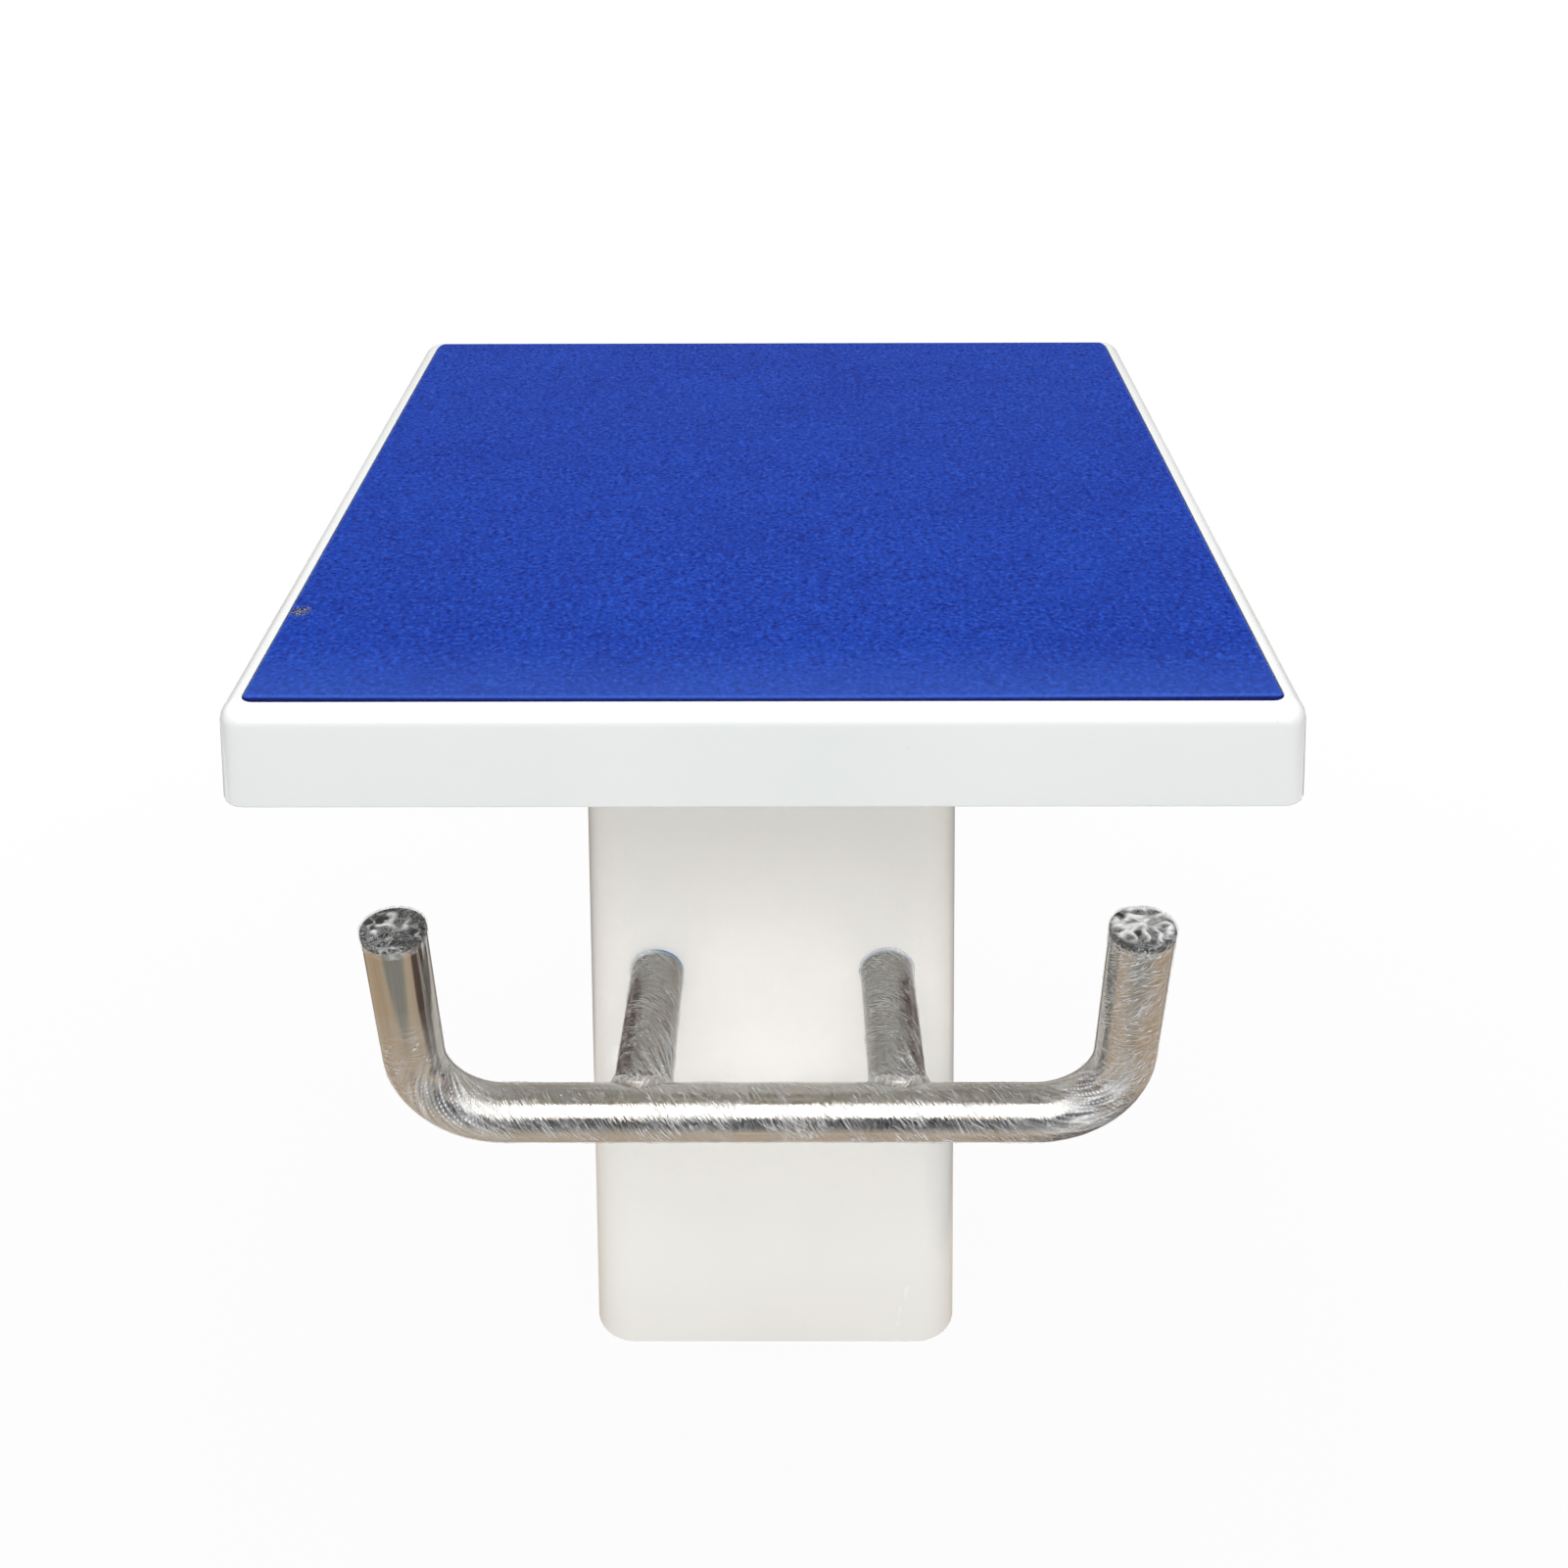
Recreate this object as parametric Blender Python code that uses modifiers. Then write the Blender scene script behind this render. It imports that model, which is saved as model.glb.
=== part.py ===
"""Pool starting block: a sloping glass-fibre platform on a hollow pedestal, with a backstroke handle.

X runs across the block, Y from the pool side to the back, Z up from the floor. Metres and radians.
"""

import math

import bmesh
import bpy
from mathutils import Matrix, Vector

# Platform moulding. Depths are measured along the slope, from the front edge.
TOP_WIDTH = 0.500
TOP_DEPTH = 0.505
TOP_SLOPE = math.radians(5.0)
FRONT_HEIGHT = 0.728
SKIRT_HEIGHT = 0.049
SKIRT_FLARE = 0.007
PLAN_RADIUS = 0.012
LIP_RADIUS = 0.008
DECK_LAMINATE = 0.006
SIDE_RIM = 0.009
END_RIM = 0.009
RECESS_DEPTH = 0.0025

# Non-slip pad
PAD_THICKNESS = 0.004
PAD_CORNER_RADIUS = 0.006
PAD_EDGE_RADIUS = 0.001
PAD_CLEARANCE = 0.0005

# Stiffening under the deck
CORE_THICKNESS = 0.018
CORE_CLEARANCE = 0.004
CORE_CORNER_RADIUS = 0.010
RIB_HEIGHT = 0.020
RIB_CROWN = 0.030
RIB_DRAFT = 0.007
RIB_FOOT = 0.012
RIB_WALL = 0.003
SIDE_RIB_END_GAP = 0.030
FRONT_RIB_END_GAP = 0.006

# Pedestal moulding, whose front wall leans back as it rises
FOOT_WIDTH = 0.309
FOOT_DEPTH = 0.244
NECK_WIDTH = 0.233
NECK_DEPTH = 0.202
FRONT_LEAN = 0.012
CORNER_RADIUS = 0.035
PEDESTAL_WALL = 0.006
EDGE_RADIUS = 0.0015
TRIM_ALLOWANCE = 0.020

# Laminate plates bonded to the pedestal: its floor, and the flange under the deck
FLANGE_WIDTH = 0.032
FLANGE_REAR_GAP = 0.016
FLANGE_THICKNESS = 0.006
FLOOR_THICKNESS = 0.006
FOOT_OPENING_WIDTH = 0.150
FOOT_OPENING_DEPTH = 0.090
FOOT_OPENING_RADIUS = 0.015

# Steel anchor plate inside the foot
ANCHOR_PLATE_THICKNESS = 0.010
ANCHOR_PLATE_CLEARANCE = 0.003
ANCHOR_HOLE_DIAMETER = 0.014
ANCHOR_HOLE_SPACING_X = 0.220
ANCHOR_HOLE_SPACING_Y = 0.150

# Screws that hold the pedestal's flange up to the deck
SCREW_DIAMETER = 0.008
SCREW_HOLE_DIAMETER = 0.0095
SCREW_LENGTH = 0.022
SCREW_HEAD_FLATS = 0.013
SCREW_HEAD_HEIGHT = 0.0053
SCREW_WASHER_DIAMETER = 0.017
SCREW_WASHER_THICKNESS = 0.0016
SCREW_OFFSET = 0.020
SCREW_END_SPACING = 0.110
SCREW_SIDE_SPACING = 0.120

# Backstroke handle
TUBE_DIAMETER = 0.037
TUBE_WALL = 0.002
HANDLE_WIDTH = 0.436
BEND_RADIUS = 0.050
BEND_ANGLE = math.radians(91.5)
HORN_HEIGHT = 0.144
HORN_LEAN = math.radians(3.0)
ARM_SPACING = 0.164
ARM_HEIGHT = 0.394
HANDLE_REACH = 0.150
ARM_END_WALL = 0.006
SEAL_THICKNESS = 0.002
WELD_RADIUS = 0.003

# Plugs in the ends of the horns
PLUG_RIM_DIAMETER = 0.038
PLUG_RIM_HEIGHT = 0.005
PLUG_EDGE_RADIUS = 0.0015
PLUG_STEM_LENGTH = 0.022
PLUG_STEM_CLEARANCE = 0.0006
PLUG_RIB_DEPTH = 0.0012
PLUG_RIB_COUNT = 3

# Studs and fixings that hold the arms to the pedestal's front wall
STUD_DIAMETER = 0.016
STUD_HOLE_DIAMETER = 0.0175
STUD_ENGAGEMENT = 0.014
STUD_PROJECTION = 0.006
BACKING_MARGIN = 0.014
BACKING_HEIGHT = 0.070
BACKING_THICKNESS = 0.006
BACKING_CORNER_RADIUS = 0.006
ARM_WASHER_DIAMETER = 0.030
ARM_WASHER_THICKNESS = 0.003
ARM_NUT_FLATS = 0.024
ARM_NUT_HEIGHT = 0.013

# Neighbouring pieces stay this far apart where they touch.
SEAT_GAP = 0.0003

# The bead's path dips by this share of the true saddle, so that it lies in the joint's corner.
WELD_SADDLE = 0.93

# How many flats stand in for each round shape
TUBE_SIDES = 28
CUTTER_SIDES = 56
FINE_SIDES = 24
HOLE_SIDES = 16
SHANK_SIDES = 12
BEND_STEPS = 10
WELD_STEPS = 40
WELD_PROFILE_STEPS = 2
CORNER_STEPS = 5
PEDESTAL_CORNER_STEPS = 8
LIP_STEPS = 5
FILLET_STEPS = 3
TRIM_STEPS = 2

# Edges that turn by less than the first angle are shaded smooth, and by more than the second are eased.
SMOOTH_ANGLE = math.radians(40)
TRIM_ANGLE = math.radians(60)
SEAM_DISTANCE = 0.00001
ROUND_PROFILE = 0.5
QUARTER_TURN = math.pi / 2
HEXAGON_SIDES = 6

# Levels in the deck's own frame, where zero is the top surface.
CORE_TOP = -DECK_LAMINATE - SEAT_GAP
CORE_BOTTOM = CORE_TOP - CORE_THICKNESS
FLANGE_TOP = CORE_BOTTOM - SEAT_GAP
FLANGE_BOTTOM = FLANGE_TOP - FLANGE_THICKNESS
SCREW_SEAT = FLANGE_BOTTOM - SCREW_WASHER_THICKNESS - 2 * SEAT_GAP

# The neck stands at the rear of the deck. Setbacks are level distances behind the platform's front edge.
NECK_REAR_ON_SLOPE = TOP_DEPTH - DECK_LAMINATE - FLANGE_REAR_GAP - FLANGE_WIDTH
NECK_REAR = NECK_REAR_ON_SLOPE * math.cos(TOP_SLOPE) - FLANGE_BOTTOM * math.sin(TOP_SLOPE)
NECK_SETBACK = NECK_REAR - NECK_DEPTH
FOOT_SETBACK = NECK_SETBACK - FRONT_LEAN


def clear_scene():
    for scene_object in list(bpy.data.objects):
        bpy.data.objects.remove(scene_object, do_unlink=True)


def new_collection(name):
    collection = bpy.data.collections.new(name)
    bpy.context.scene.collection.children.link(collection)
    return collection


clear_scene()
PARTS = new_collection("starting_block")
CUTTERS = new_collection("cutters")


# Shared helpers

def new_material(name, colour, roughness, metallic=0.0):
    material = bpy.data.materials.new(name)
    material.use_nodes = True
    shader = material.node_tree.nodes["Principled BSDF"]
    shader.inputs["Base Color"].default_value = (*colour, 1.0)
    shader.inputs["Roughness"].default_value = roughness
    shader.inputs["Metallic"].default_value = metallic
    material.diffuse_color = (*colour, 1.0)
    return material


def new_frame(name, parent=None, location=(0, 0, 0), tilt=0.0):
    """An empty that carries pieces; tilt turns it about X."""
    frame = bpy.data.objects.new(name, None)
    PARTS.objects.link(frame)
    frame.parent = parent
    frame.location = location
    frame.rotation_euler.x = tilt
    return frame


def add_object(name, data, parent, location=(0, 0, 0), rotation=(0, 0, 0), material=None):
    piece = bpy.data.objects.new(name, data)
    PARTS.objects.link(piece)
    piece.parent = parent
    piece.location = location
    piece.rotation_euler = rotation
    if material is not None:
        piece.data.materials.append(material)
    return piece


def make_cutter(cutter):
    """Move an object to the cutters' collection and show it as a wire cage."""
    PARTS.objects.unlink(cutter)
    CUTTERS.objects.link(cutter)
    cutter.hide_render = True
    cutter.display_type = "WIRE"
    return cutter


def mesh_from(bm, name, smooth_angle=None):
    mesh = bpy.data.meshes.new(name)
    bm.to_mesh(mesh)
    bm.free()
    if smooth_angle is not None:
        mesh.shade_smooth()
        mesh.set_sharp_from_angle(angle=smooth_angle)
    return mesh


def cut(piece, cutter):
    modifier = piece.modifiers.new("cut_" + cutter.name, "BOOLEAN")
    modifier.operation = "DIFFERENCE"
    modifier.object = cutter


def add_wall(piece, name, thickness):
    """Give a surface its thickness, inwards."""
    wall = piece.modifiers.new(name, "SOLIDIFY")
    wall.thickness = thickness
    wall.offset = -1.0
    wall.use_even_offset = True


def trim_edges(piece):
    """Ease the sharp edges where a moulding was trimmed."""
    bevel = piece.modifiers.new("trimmed_edge", "BEVEL")
    bevel.width = EDGE_RADIUS
    bevel.segments = TRIM_STEPS
    bevel.limit_method = "ANGLE"
    bevel.angle_limit = TRIM_ANGLE


def round_edges(bm, edges, radius, steps):
    bmesh.ops.bevel(bm, geom=edges, offset=radius, segments=steps, profile=ROUND_PROFILE, affect="EDGES")


def block_bmesh(width, depth, height, corner_radius):
    """A block centred on its origin, with its four upright edges rounded."""
    bm = bmesh.new()
    bmesh.ops.create_cube(bm, size=1.0)
    bmesh.ops.scale(bm, vec=(width, depth, height), verts=bm.verts)
    upright = [edge for edge in bm.edges if edge.verts[0].co.xy == edge.verts[1].co.xy]
    round_edges(bm, upright, corner_radius, CORNER_STEPS)
    return bm


def rod_mesh(name, radius, low, high, sides=FINE_SIDES):
    """A plain round bar along Z, from low to high."""
    bm = bmesh.new()
    bmesh.ops.create_cone(bm, cap_ends=True, segments=sides, radius1=radius, radius2=radius,
                          depth=high - low)
    bmesh.ops.translate(bm, vec=(0, 0, (low + high) / 2), verts=bm.verts)
    return mesh_from(bm, name, SMOOTH_ANGLE)


def rods_mesh(name, places, radius, low, high, sides=HOLE_SIDES):
    """Parallel round bars along Z, one at each (x, y) place."""
    bm = bmesh.new()
    for x, y in places:
        centre = Matrix.Translation((x, y, (low + high) / 2))
        bmesh.ops.create_cone(bm, cap_ends=True, segments=sides, radius1=radius, radius2=radius,
                              depth=high - low, matrix=centre)
    return mesh_from(bm, name, SMOOTH_ANGLE)


def circle_points(radius, sides, centre=(0.0, 0.0)):
    steps = [2 * math.pi * step / sides for step in range(sides)]
    return [(centre[0] + radius * math.cos(turn), centre[1] + radius * math.sin(turn)) for turn in steps]


def rounded_rectangle_points(width, depth, radius):
    """Outline centred on its origin, anticlockwise, with round corners."""
    points = []
    for quarter, (side_x, side_y) in enumerate([(1, 1), (-1, 1), (-1, -1), (1, -1)]):
        centre_x = side_x * (width / 2 - radius)
        centre_y = side_y * (depth / 2 - radius)
        for step in range(CORNER_STEPS + 1):
            turn = QUARTER_TURN * (quarter + step / CORNER_STEPS)
            points.append((centre_x + radius * math.cos(turn), centre_y + radius * math.sin(turn)))
    return points


def plate_curve(name, outlines, thickness):
    """A flat plate from closed outlines: the first is its edge and the rest are its holes."""
    curve = bpy.data.curves.new(name, "CURVE")
    curve.dimensions = "2D"
    curve.fill_mode = "BOTH"
    curve.extrude = thickness / 2
    for outline in outlines:
        spline = curve.splines.new("POLY")
        spline.points.add(len(outline) - 1)
        for point, (x, y) in zip(spline.points, outline):
            point.co = (x, y, 0.0, 1.0)
        spline.use_cyclic_u = True
    return curve


def tube_mesh(name, points, radius, cyclic=False, resolution=TUBE_SIDES // 2 - 2):
    """A round skin swept along a list of points, as a mesh."""
    curve = bpy.data.curves.new(name, "CURVE")
    curve.dimensions = "3D"
    curve.bevel_depth = radius
    curve.bevel_resolution = resolution
    spline = curve.splines.new("POLY")
    spline.points.add(len(points) - 1)
    for point, place in zip(spline.points, points):
        point.co = (*place, 1.0)
    spline.use_cyclic_u = cyclic
    swept = bpy.data.objects.new(name, curve)
    PARTS.objects.link(swept)
    bpy.context.view_layer.update()
    evaluated = swept.evaluated_get(bpy.context.evaluated_depsgraph_get())
    mesh = bpy.data.meshes.new_from_object(evaluated)
    bpy.data.objects.remove(swept, do_unlink=True)
    bpy.data.curves.remove(curve)
    bm = bmesh.new()
    bm.from_mesh(mesh)
    bmesh.ops.remove_doubles(bm, verts=bm.verts, dist=SEAM_DISTANCE)
    bm.to_mesh(mesh)
    bm.free()
    mesh.name = name
    mesh.shade_smooth()
    mesh.set_sharp_from_angle(angle=SMOOTH_ANGLE)
    return mesh


def turned_object(name, profile, parent, material, location=(0, 0, 0), rotation=(0, 0, 0),
                  steps=FINE_SIDES, closed=False):
    """A turned piece. The profile gives (radius, height) down its outer side, from the top."""
    mesh = bpy.data.meshes.new(name)
    vertices = [(radius, 0.0, height) for radius, height in profile]
    edges = [(index, index + 1) for index in range(len(profile) - 1)]
    if closed:
        edges.append((len(profile) - 1, 0))
    mesh.from_pydata(vertices, edges, [])
    piece = add_object(name, mesh, parent, location, rotation, material)
    screw = piece.modifiers.new("turn", "SCREW")
    screw.axis = "Z"
    screw.steps = steps
    screw.render_steps = steps
    screw.use_merge_vertices = True
    screw.merge_threshold = SEAM_DISTANCE
    return piece


def deck_plane_height(depth, level):
    """World height of a plane parallel to the deck, at a level distance behind the front edge."""
    return FRONT_HEIGHT + depth * math.tan(TOP_SLOPE) + level / math.cos(TOP_SLOPE)


def pedestal_section(height):
    """Half width, front and rear of the pedestal's outside at a height above the floor."""
    share = height / deck_plane_height(NECK_SETBACK, FLANGE_BOTTOM)
    half_width = (FOOT_WIDTH + (NECK_WIDTH - FOOT_WIDTH) * share) / 2
    front = FOOT_SETBACK + (NECK_SETBACK - FOOT_SETBACK) * share
    foot_rear = FOOT_SETBACK + FOOT_DEPTH
    rear = foot_rear + (NECK_REAR - foot_rear) * share
    return half_width, front, rear


# Platform

def make_platform_shell(deck):
    """Tray turned upside down: a deck with rounded lips and a skirt that flares for its mould."""
    bm = block_bmesh(TOP_WIDTH, TOP_DEPTH, SKIRT_HEIGHT, PLAN_RADIUS)
    bmesh.ops.translate(bm, vec=(0, TOP_DEPTH / 2, -SKIRT_HEIGHT / 2), verts=bm.verts)
    flare = Vector((1 + 2 * SKIRT_FLARE / TOP_WIDTH, 1 + 2 * SKIRT_FLARE / TOP_DEPTH, 1))
    lower = [vertex for vertex in bm.verts if vertex.co.z < -SKIRT_HEIGHT / 2]
    middle = Matrix.Translation((0, -TOP_DEPTH / 2, 0))
    bmesh.ops.scale(bm, vec=flare, verts=lower, space=middle)
    underside = [face for face in bm.faces if all(vertex in lower for vertex in face.verts)]
    bmesh.ops.delete(bm, geom=underside, context="FACES_ONLY")
    lip = [edge for edge in bm.edges if all(vertex.co.z > -SKIRT_HEIGHT / 2 for vertex in edge.verts)]
    round_edges(bm, lip, LIP_RADIUS, LIP_STEPS)
    material = new_material("gelcoat_white", (0.80, 0.81, 0.80), 0.22)
    shell = add_object("platform_shell", mesh_from(bm, "platform_shell", SMOOTH_ANGLE), deck,
                       material=material)
    add_wall(shell, "laminate", DECK_LAMINATE)
    trim_edges(shell)
    cut(shell, make_recess_cutter(deck))
    return shell


def make_recess_cutter(deck):
    """The shallow tray that the pad is glued into."""
    bm = block_bmesh(TOP_WIDTH - 2 * SIDE_RIM, TOP_DEPTH - 2 * END_RIM, 2 * RECESS_DEPTH,
                     PAD_CORNER_RADIUS + PAD_CLEARANCE)
    cutter = add_object("pad_recess", mesh_from(bm, "pad_recess"), deck, (0, TOP_DEPTH / 2, 0))
    return make_cutter(cutter)


def make_pad(deck):
    """Blue pebbled sheet that fills the recess and stands a little proud of the rim."""
    bm = block_bmesh(TOP_WIDTH - 2 * (SIDE_RIM + PAD_CLEARANCE), TOP_DEPTH - 2 * (END_RIM + PAD_CLEARANCE),
                     PAD_THICKNESS, PAD_CORNER_RADIUS)
    top = [edge for edge in bm.edges if all(vertex.co.z > 0 for vertex in edge.verts)]
    round_edges(bm, top, PAD_EDGE_RADIUS, FILLET_STEPS)
    material = new_material("pad_blue", (0.020, 0.055, 0.42), 0.6)
    level = -RECESS_DEPTH + SEAT_GAP + PAD_THICKNESS / 2
    return add_object("nonslip_pad", mesh_from(bm, "nonslip_pad", SMOOTH_ANGLE), deck,
                      (0, TOP_DEPTH / 2, level), material=material)


def make_core(deck):
    """Laminated board that stiffens the deck, drilled for the pedestal's screws."""
    margin = DECK_LAMINATE + CORE_CLEARANCE
    bm = block_bmesh(TOP_WIDTH - 2 * margin, TOP_DEPTH - 2 * margin, CORE_THICKNESS, CORE_CORNER_RADIUS)
    material = new_material("core_board", (0.62, 0.55, 0.40), 0.7)
    core = add_object("deck_core", mesh_from(bm, "deck_core"), deck,
                      (0, TOP_DEPTH / 2, CORE_TOP - CORE_THICKNESS / 2), material=material)
    hole_depth = SCREW_SEAT + SCREW_LENGTH + SEAT_GAP
    holes = add_object("core_pilot_holes",
                       rods_mesh("core_pilot_holes", screw_places(), SCREW_DIAMETER / 2 + SEAT_GAP,
                                 FLANGE_BOTTOM, hole_depth), deck)
    cut(core, make_cutter(holes))
    return core


def rib_outline():
    """Section of a top-hat rib, hanging down from its two feet."""
    crown = RIB_CROWN / 2
    root = crown + RIB_DRAFT
    right = [(root + RIB_FOOT, 0), (root + RIB_FOOT, -RIB_WALL), (root, -RIB_WALL), (crown, -RIB_HEIGHT)]
    inner = [(crown - RIB_WALL, -RIB_HEIGHT + RIB_WALL), (root - RIB_WALL, 0)]
    outside = right + [(-x, y) for x, y in reversed(right)]
    inside = [(-x, y) for x, y in reversed(inner)] + inner
    return outside + inside


def make_rib(name, deck, length, location, turn, material):
    """Top-hat rib under the core; turn is about the deck's upright axis."""
    curve = plate_curve(name, [rib_outline()], length)
    return add_object(name, curve, deck, location, (QUARTER_TURN, 0, turn), material)


def make_ribs(deck, material):
    """Ribs along the middles of the bays that the flange leaves at both sides and at the front."""
    level = CORE_BOTTOM - SEAT_GAP
    length = TOP_DEPTH - 2 * (DECK_LAMINATE + SIDE_RIB_END_GAP)
    flange_side = NECK_WIDTH / 2 + FLANGE_WIDTH
    side_x = (flange_side + TOP_WIDTH / 2 - DECK_LAMINATE) / 2
    for name, side in (("rib_left", -1), ("rib_right", 1)):
        make_rib(name, deck, length, (side * side_x, TOP_DEPTH / 2, level), 0, material)
    flange_front = neck_ends()[0] - FLANGE_WIDTH
    rib_half_width = RIB_CROWN / 2 + RIB_DRAFT + RIB_FOOT
    span = 2 * (side_x - rib_half_width - FRONT_RIB_END_GAP)
    make_rib("rib_front", deck, span, (0, (DECK_LAMINATE + flange_front) / 2, level), QUARTER_TURN, material)


# Pedestal

def pedestal_skin():
    """Tapered tube with round upright corners, running a little past both of its trimmed ends."""
    low = -TRIM_ALLOWANCE
    high = deck_plane_height(NECK_REAR, FLANGE_BOTTOM) + TRIM_ALLOWANCE
    bm = bmesh.new()
    bmesh.ops.create_cube(bm, size=1.0)
    for vertex in bm.verts:
        height = high if vertex.co.z > 0 else low
        half_width, front, rear = pedestal_section(height)
        vertex.co = (math.copysign(half_width, vertex.co.x), rear if vertex.co.y > 0 else front, height)
    ends = [face for face in bm.faces if len({vertex.co.z for vertex in face.verts}) == 1]
    bmesh.ops.delete(bm, geom=ends, context="FACES_ONLY")
    upright = [edge for edge in bm.edges if edge.verts[0].co.z != edge.verts[1].co.z]
    round_edges(bm, upright, CORNER_RADIUS, PEDESTAL_CORNER_STEPS)
    return bm


def make_trim_cutter(name, parent, depth, level, side):
    """A block wider than the foot that takes off what runs past a level, above it or below it."""
    size = FOOT_WIDTH + FOOT_DEPTH
    bm = bmesh.new()
    bmesh.ops.create_cube(bm, size=size)
    place = (0, depth, level + side * size / 2)
    return make_cutter(add_object(name, mesh_from(bm, name), parent, place))


def make_pedestal(block, deck, front_wall):
    """Moulded tube, trimmed level at the floor and along the slope under its flange."""
    material = new_material("gelcoat_pedestal", (0.79, 0.79, 0.76), 0.25)
    pedestal = add_object("pedestal_shell", mesh_from(pedestal_skin(), "pedestal_shell", SMOOTH_ANGLE),
                          block, material=material)
    add_wall(pedestal, "laminate", PEDESTAL_WALL)
    cut(pedestal, make_trim_cutter("floor_trim", block, foot_middle(), 0.0, -1))
    cut(pedestal, make_trim_cutter("neck_trim", deck, neck_middle(), FLANGE_BOTTOM - SEAT_GAP, 1))
    trim_edges(pedestal)
    stud_holes = add_object("stud_holes",
                            rods_mesh("stud_holes", arm_places(), STUD_HOLE_DIAMETER / 2,
                                      -2 * PEDESTAL_WALL, PEDESTAL_WALL, FINE_SIDES),
                            front_wall)
    cut(pedestal, make_cutter(stud_holes))


def foot_middle():
    return FOOT_SETBACK + FOOT_DEPTH / 2


def anchor_places():
    half_x = ANCHOR_HOLE_SPACING_X / 2
    half_y = ANCHOR_HOLE_SPACING_Y / 2
    return [(x, y) for x in (-half_x, half_x) for y in (-half_y, half_y)]


def make_floor_plate(name, block, low, thickness, clearance, material):
    """Plate inside the pedestal's walls, with the foot's opening and the anchors' holes."""
    half_width, front, rear = pedestal_section(low + thickness)
    margin = PEDESTAL_WALL + clearance
    reach = min(foot_middle() - front, rear - foot_middle()) - margin
    edge = rounded_rectangle_points(2 * (half_width - margin), 2 * reach, CORNER_RADIUS - margin)
    opening = rounded_rectangle_points(FOOT_OPENING_WIDTH, FOOT_OPENING_DEPTH, FOOT_OPENING_RADIUS)
    holes = [circle_points(ANCHOR_HOLE_DIAMETER / 2, HOLE_SIDES, place) for place in anchor_places()]
    curve = plate_curve(name, [edge, opening] + holes, thickness)
    add_object(name, curve, block, (0, foot_middle(), low + thickness / 2), material=material)


def neck_ends():
    """Front and rear of the neck's outside where the flange lies on it, in the deck's frame."""
    return NECK_REAR_ON_SLOPE - NECK_DEPTH / math.cos(TOP_SLOPE), NECK_REAR_ON_SLOPE


def neck_middle():
    return sum(neck_ends()) / 2


def make_flange(deck, material):
    """Ring bonded on the neck's trimmed end, which carries the deck and takes its screws."""
    front, rear = neck_ends()
    depth = rear - front
    edge = rounded_rectangle_points(NECK_WIDTH + 2 * FLANGE_WIDTH, depth + 2 * FLANGE_WIDTH,
                                    CORNER_RADIUS + FLANGE_WIDTH)
    mouth = rounded_rectangle_points(NECK_WIDTH - 2 * PEDESTAL_WALL, depth - 2 * PEDESTAL_WALL,
                                     CORNER_RADIUS - PEDESTAL_WALL)
    holes = [circle_points(SCREW_HOLE_DIAMETER / 2, HOLE_SIDES, (x, y - neck_middle()))
             for x, y in screw_places()]
    curve = plate_curve("pedestal_flange", [edge, mouth] + holes, FLANGE_THICKNESS)
    add_object("pedestal_flange", curve, deck, (0, neck_middle(), FLANGE_BOTTOM + FLANGE_THICKNESS / 2),
               material=material)


# Screws under the deck

def screw_places():
    """Screws round the flange, in the deck's frame: two at each side and two at each end."""
    front, rear = neck_ends()
    ends = [(x, y) for x in (-SCREW_END_SPACING / 2, SCREW_END_SPACING / 2)
            for y in (front - SCREW_OFFSET, rear + SCREW_OFFSET)]
    side_x = NECK_WIDTH / 2 + SCREW_OFFSET
    sides = [(x, y) for x in (-side_x, side_x)
             for y in (neck_middle() - SCREW_SIDE_SPACING / 2, neck_middle() + SCREW_SIDE_SPACING / 2)]
    return ends + sides


def hexagon_radius(turn, flats):
    """Distance from a hexagon's centre to its outline in one direction."""
    sector = 2 * math.pi / HEXAGON_SIDES
    from_flat = (turn + sector / 2) % sector - sector / 2
    return flats / 2 / math.cos(from_flat)


def extrude_end(bm, face):
    """Grow a solid from one of its flat ends. Returns the new end, still where the old one was."""
    grown = bmesh.ops.extrude_face_region(bm, geom=[face])["geom"]
    bmesh.ops.delete(bm, geom=[face], context="FACES_ONLY")
    return next(item for item in grown if isinstance(item, bmesh.types.BMFace))


def hexagon_screw_mesh():
    """A hexagon-headed screw along Z, with its head's seat at zero."""
    bm = bmesh.new()
    bmesh.ops.create_cone(bm, cap_ends=True, segments=SHANK_SIDES, radius1=SCREW_DIAMETER / 2,
                          radius2=SCREW_DIAMETER / 2, depth=SCREW_LENGTH,
                          matrix=Matrix.Translation((0, 0, SCREW_LENGTH / 2)))
    head = extrude_end(bm, min(bm.faces, key=lambda face: face.calc_center_median().z))
    for vertex in head.verts:
        turn = math.atan2(vertex.co.y, vertex.co.x)
        radius = hexagon_radius(turn, SCREW_HEAD_FLATS)
        vertex.co = (radius * math.cos(turn), radius * math.sin(turn), 0.0)
    head = extrude_end(bm, head)
    bmesh.ops.translate(bm, vec=(0, 0, -SCREW_HEAD_HEIGHT), verts=head.verts)
    return mesh_from(bm, "flange_screw", SMOOTH_ANGLE)


def make_flange_screws(deck, steel):
    """Screws driven up through the flange into the core, each with its washer."""
    screw = hexagon_screw_mesh()
    screw.materials.append(steel)
    ring = [circle_points(SCREW_WASHER_DIAMETER / 2, HOLE_SIDES),
            circle_points(SCREW_HOLE_DIAMETER / 2, HOLE_SIDES)]
    washer = plate_curve("flange_washer", ring, SCREW_WASHER_THICKNESS)
    washer.materials.append(steel)
    washer_level = FLANGE_BOTTOM - SEAT_GAP - SCREW_WASHER_THICKNESS / 2
    for number, (x, y) in enumerate(screw_places(), start=1):
        add_object(f"flange_screw_{number}", screw, deck, (x, y, SCREW_SEAT))
        add_object(f"flange_washer_{number}", washer, deck, (x, y, washer_level))


# Handle. In the wall's frame X runs right, Y up the front wall and Z out of it.

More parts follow.
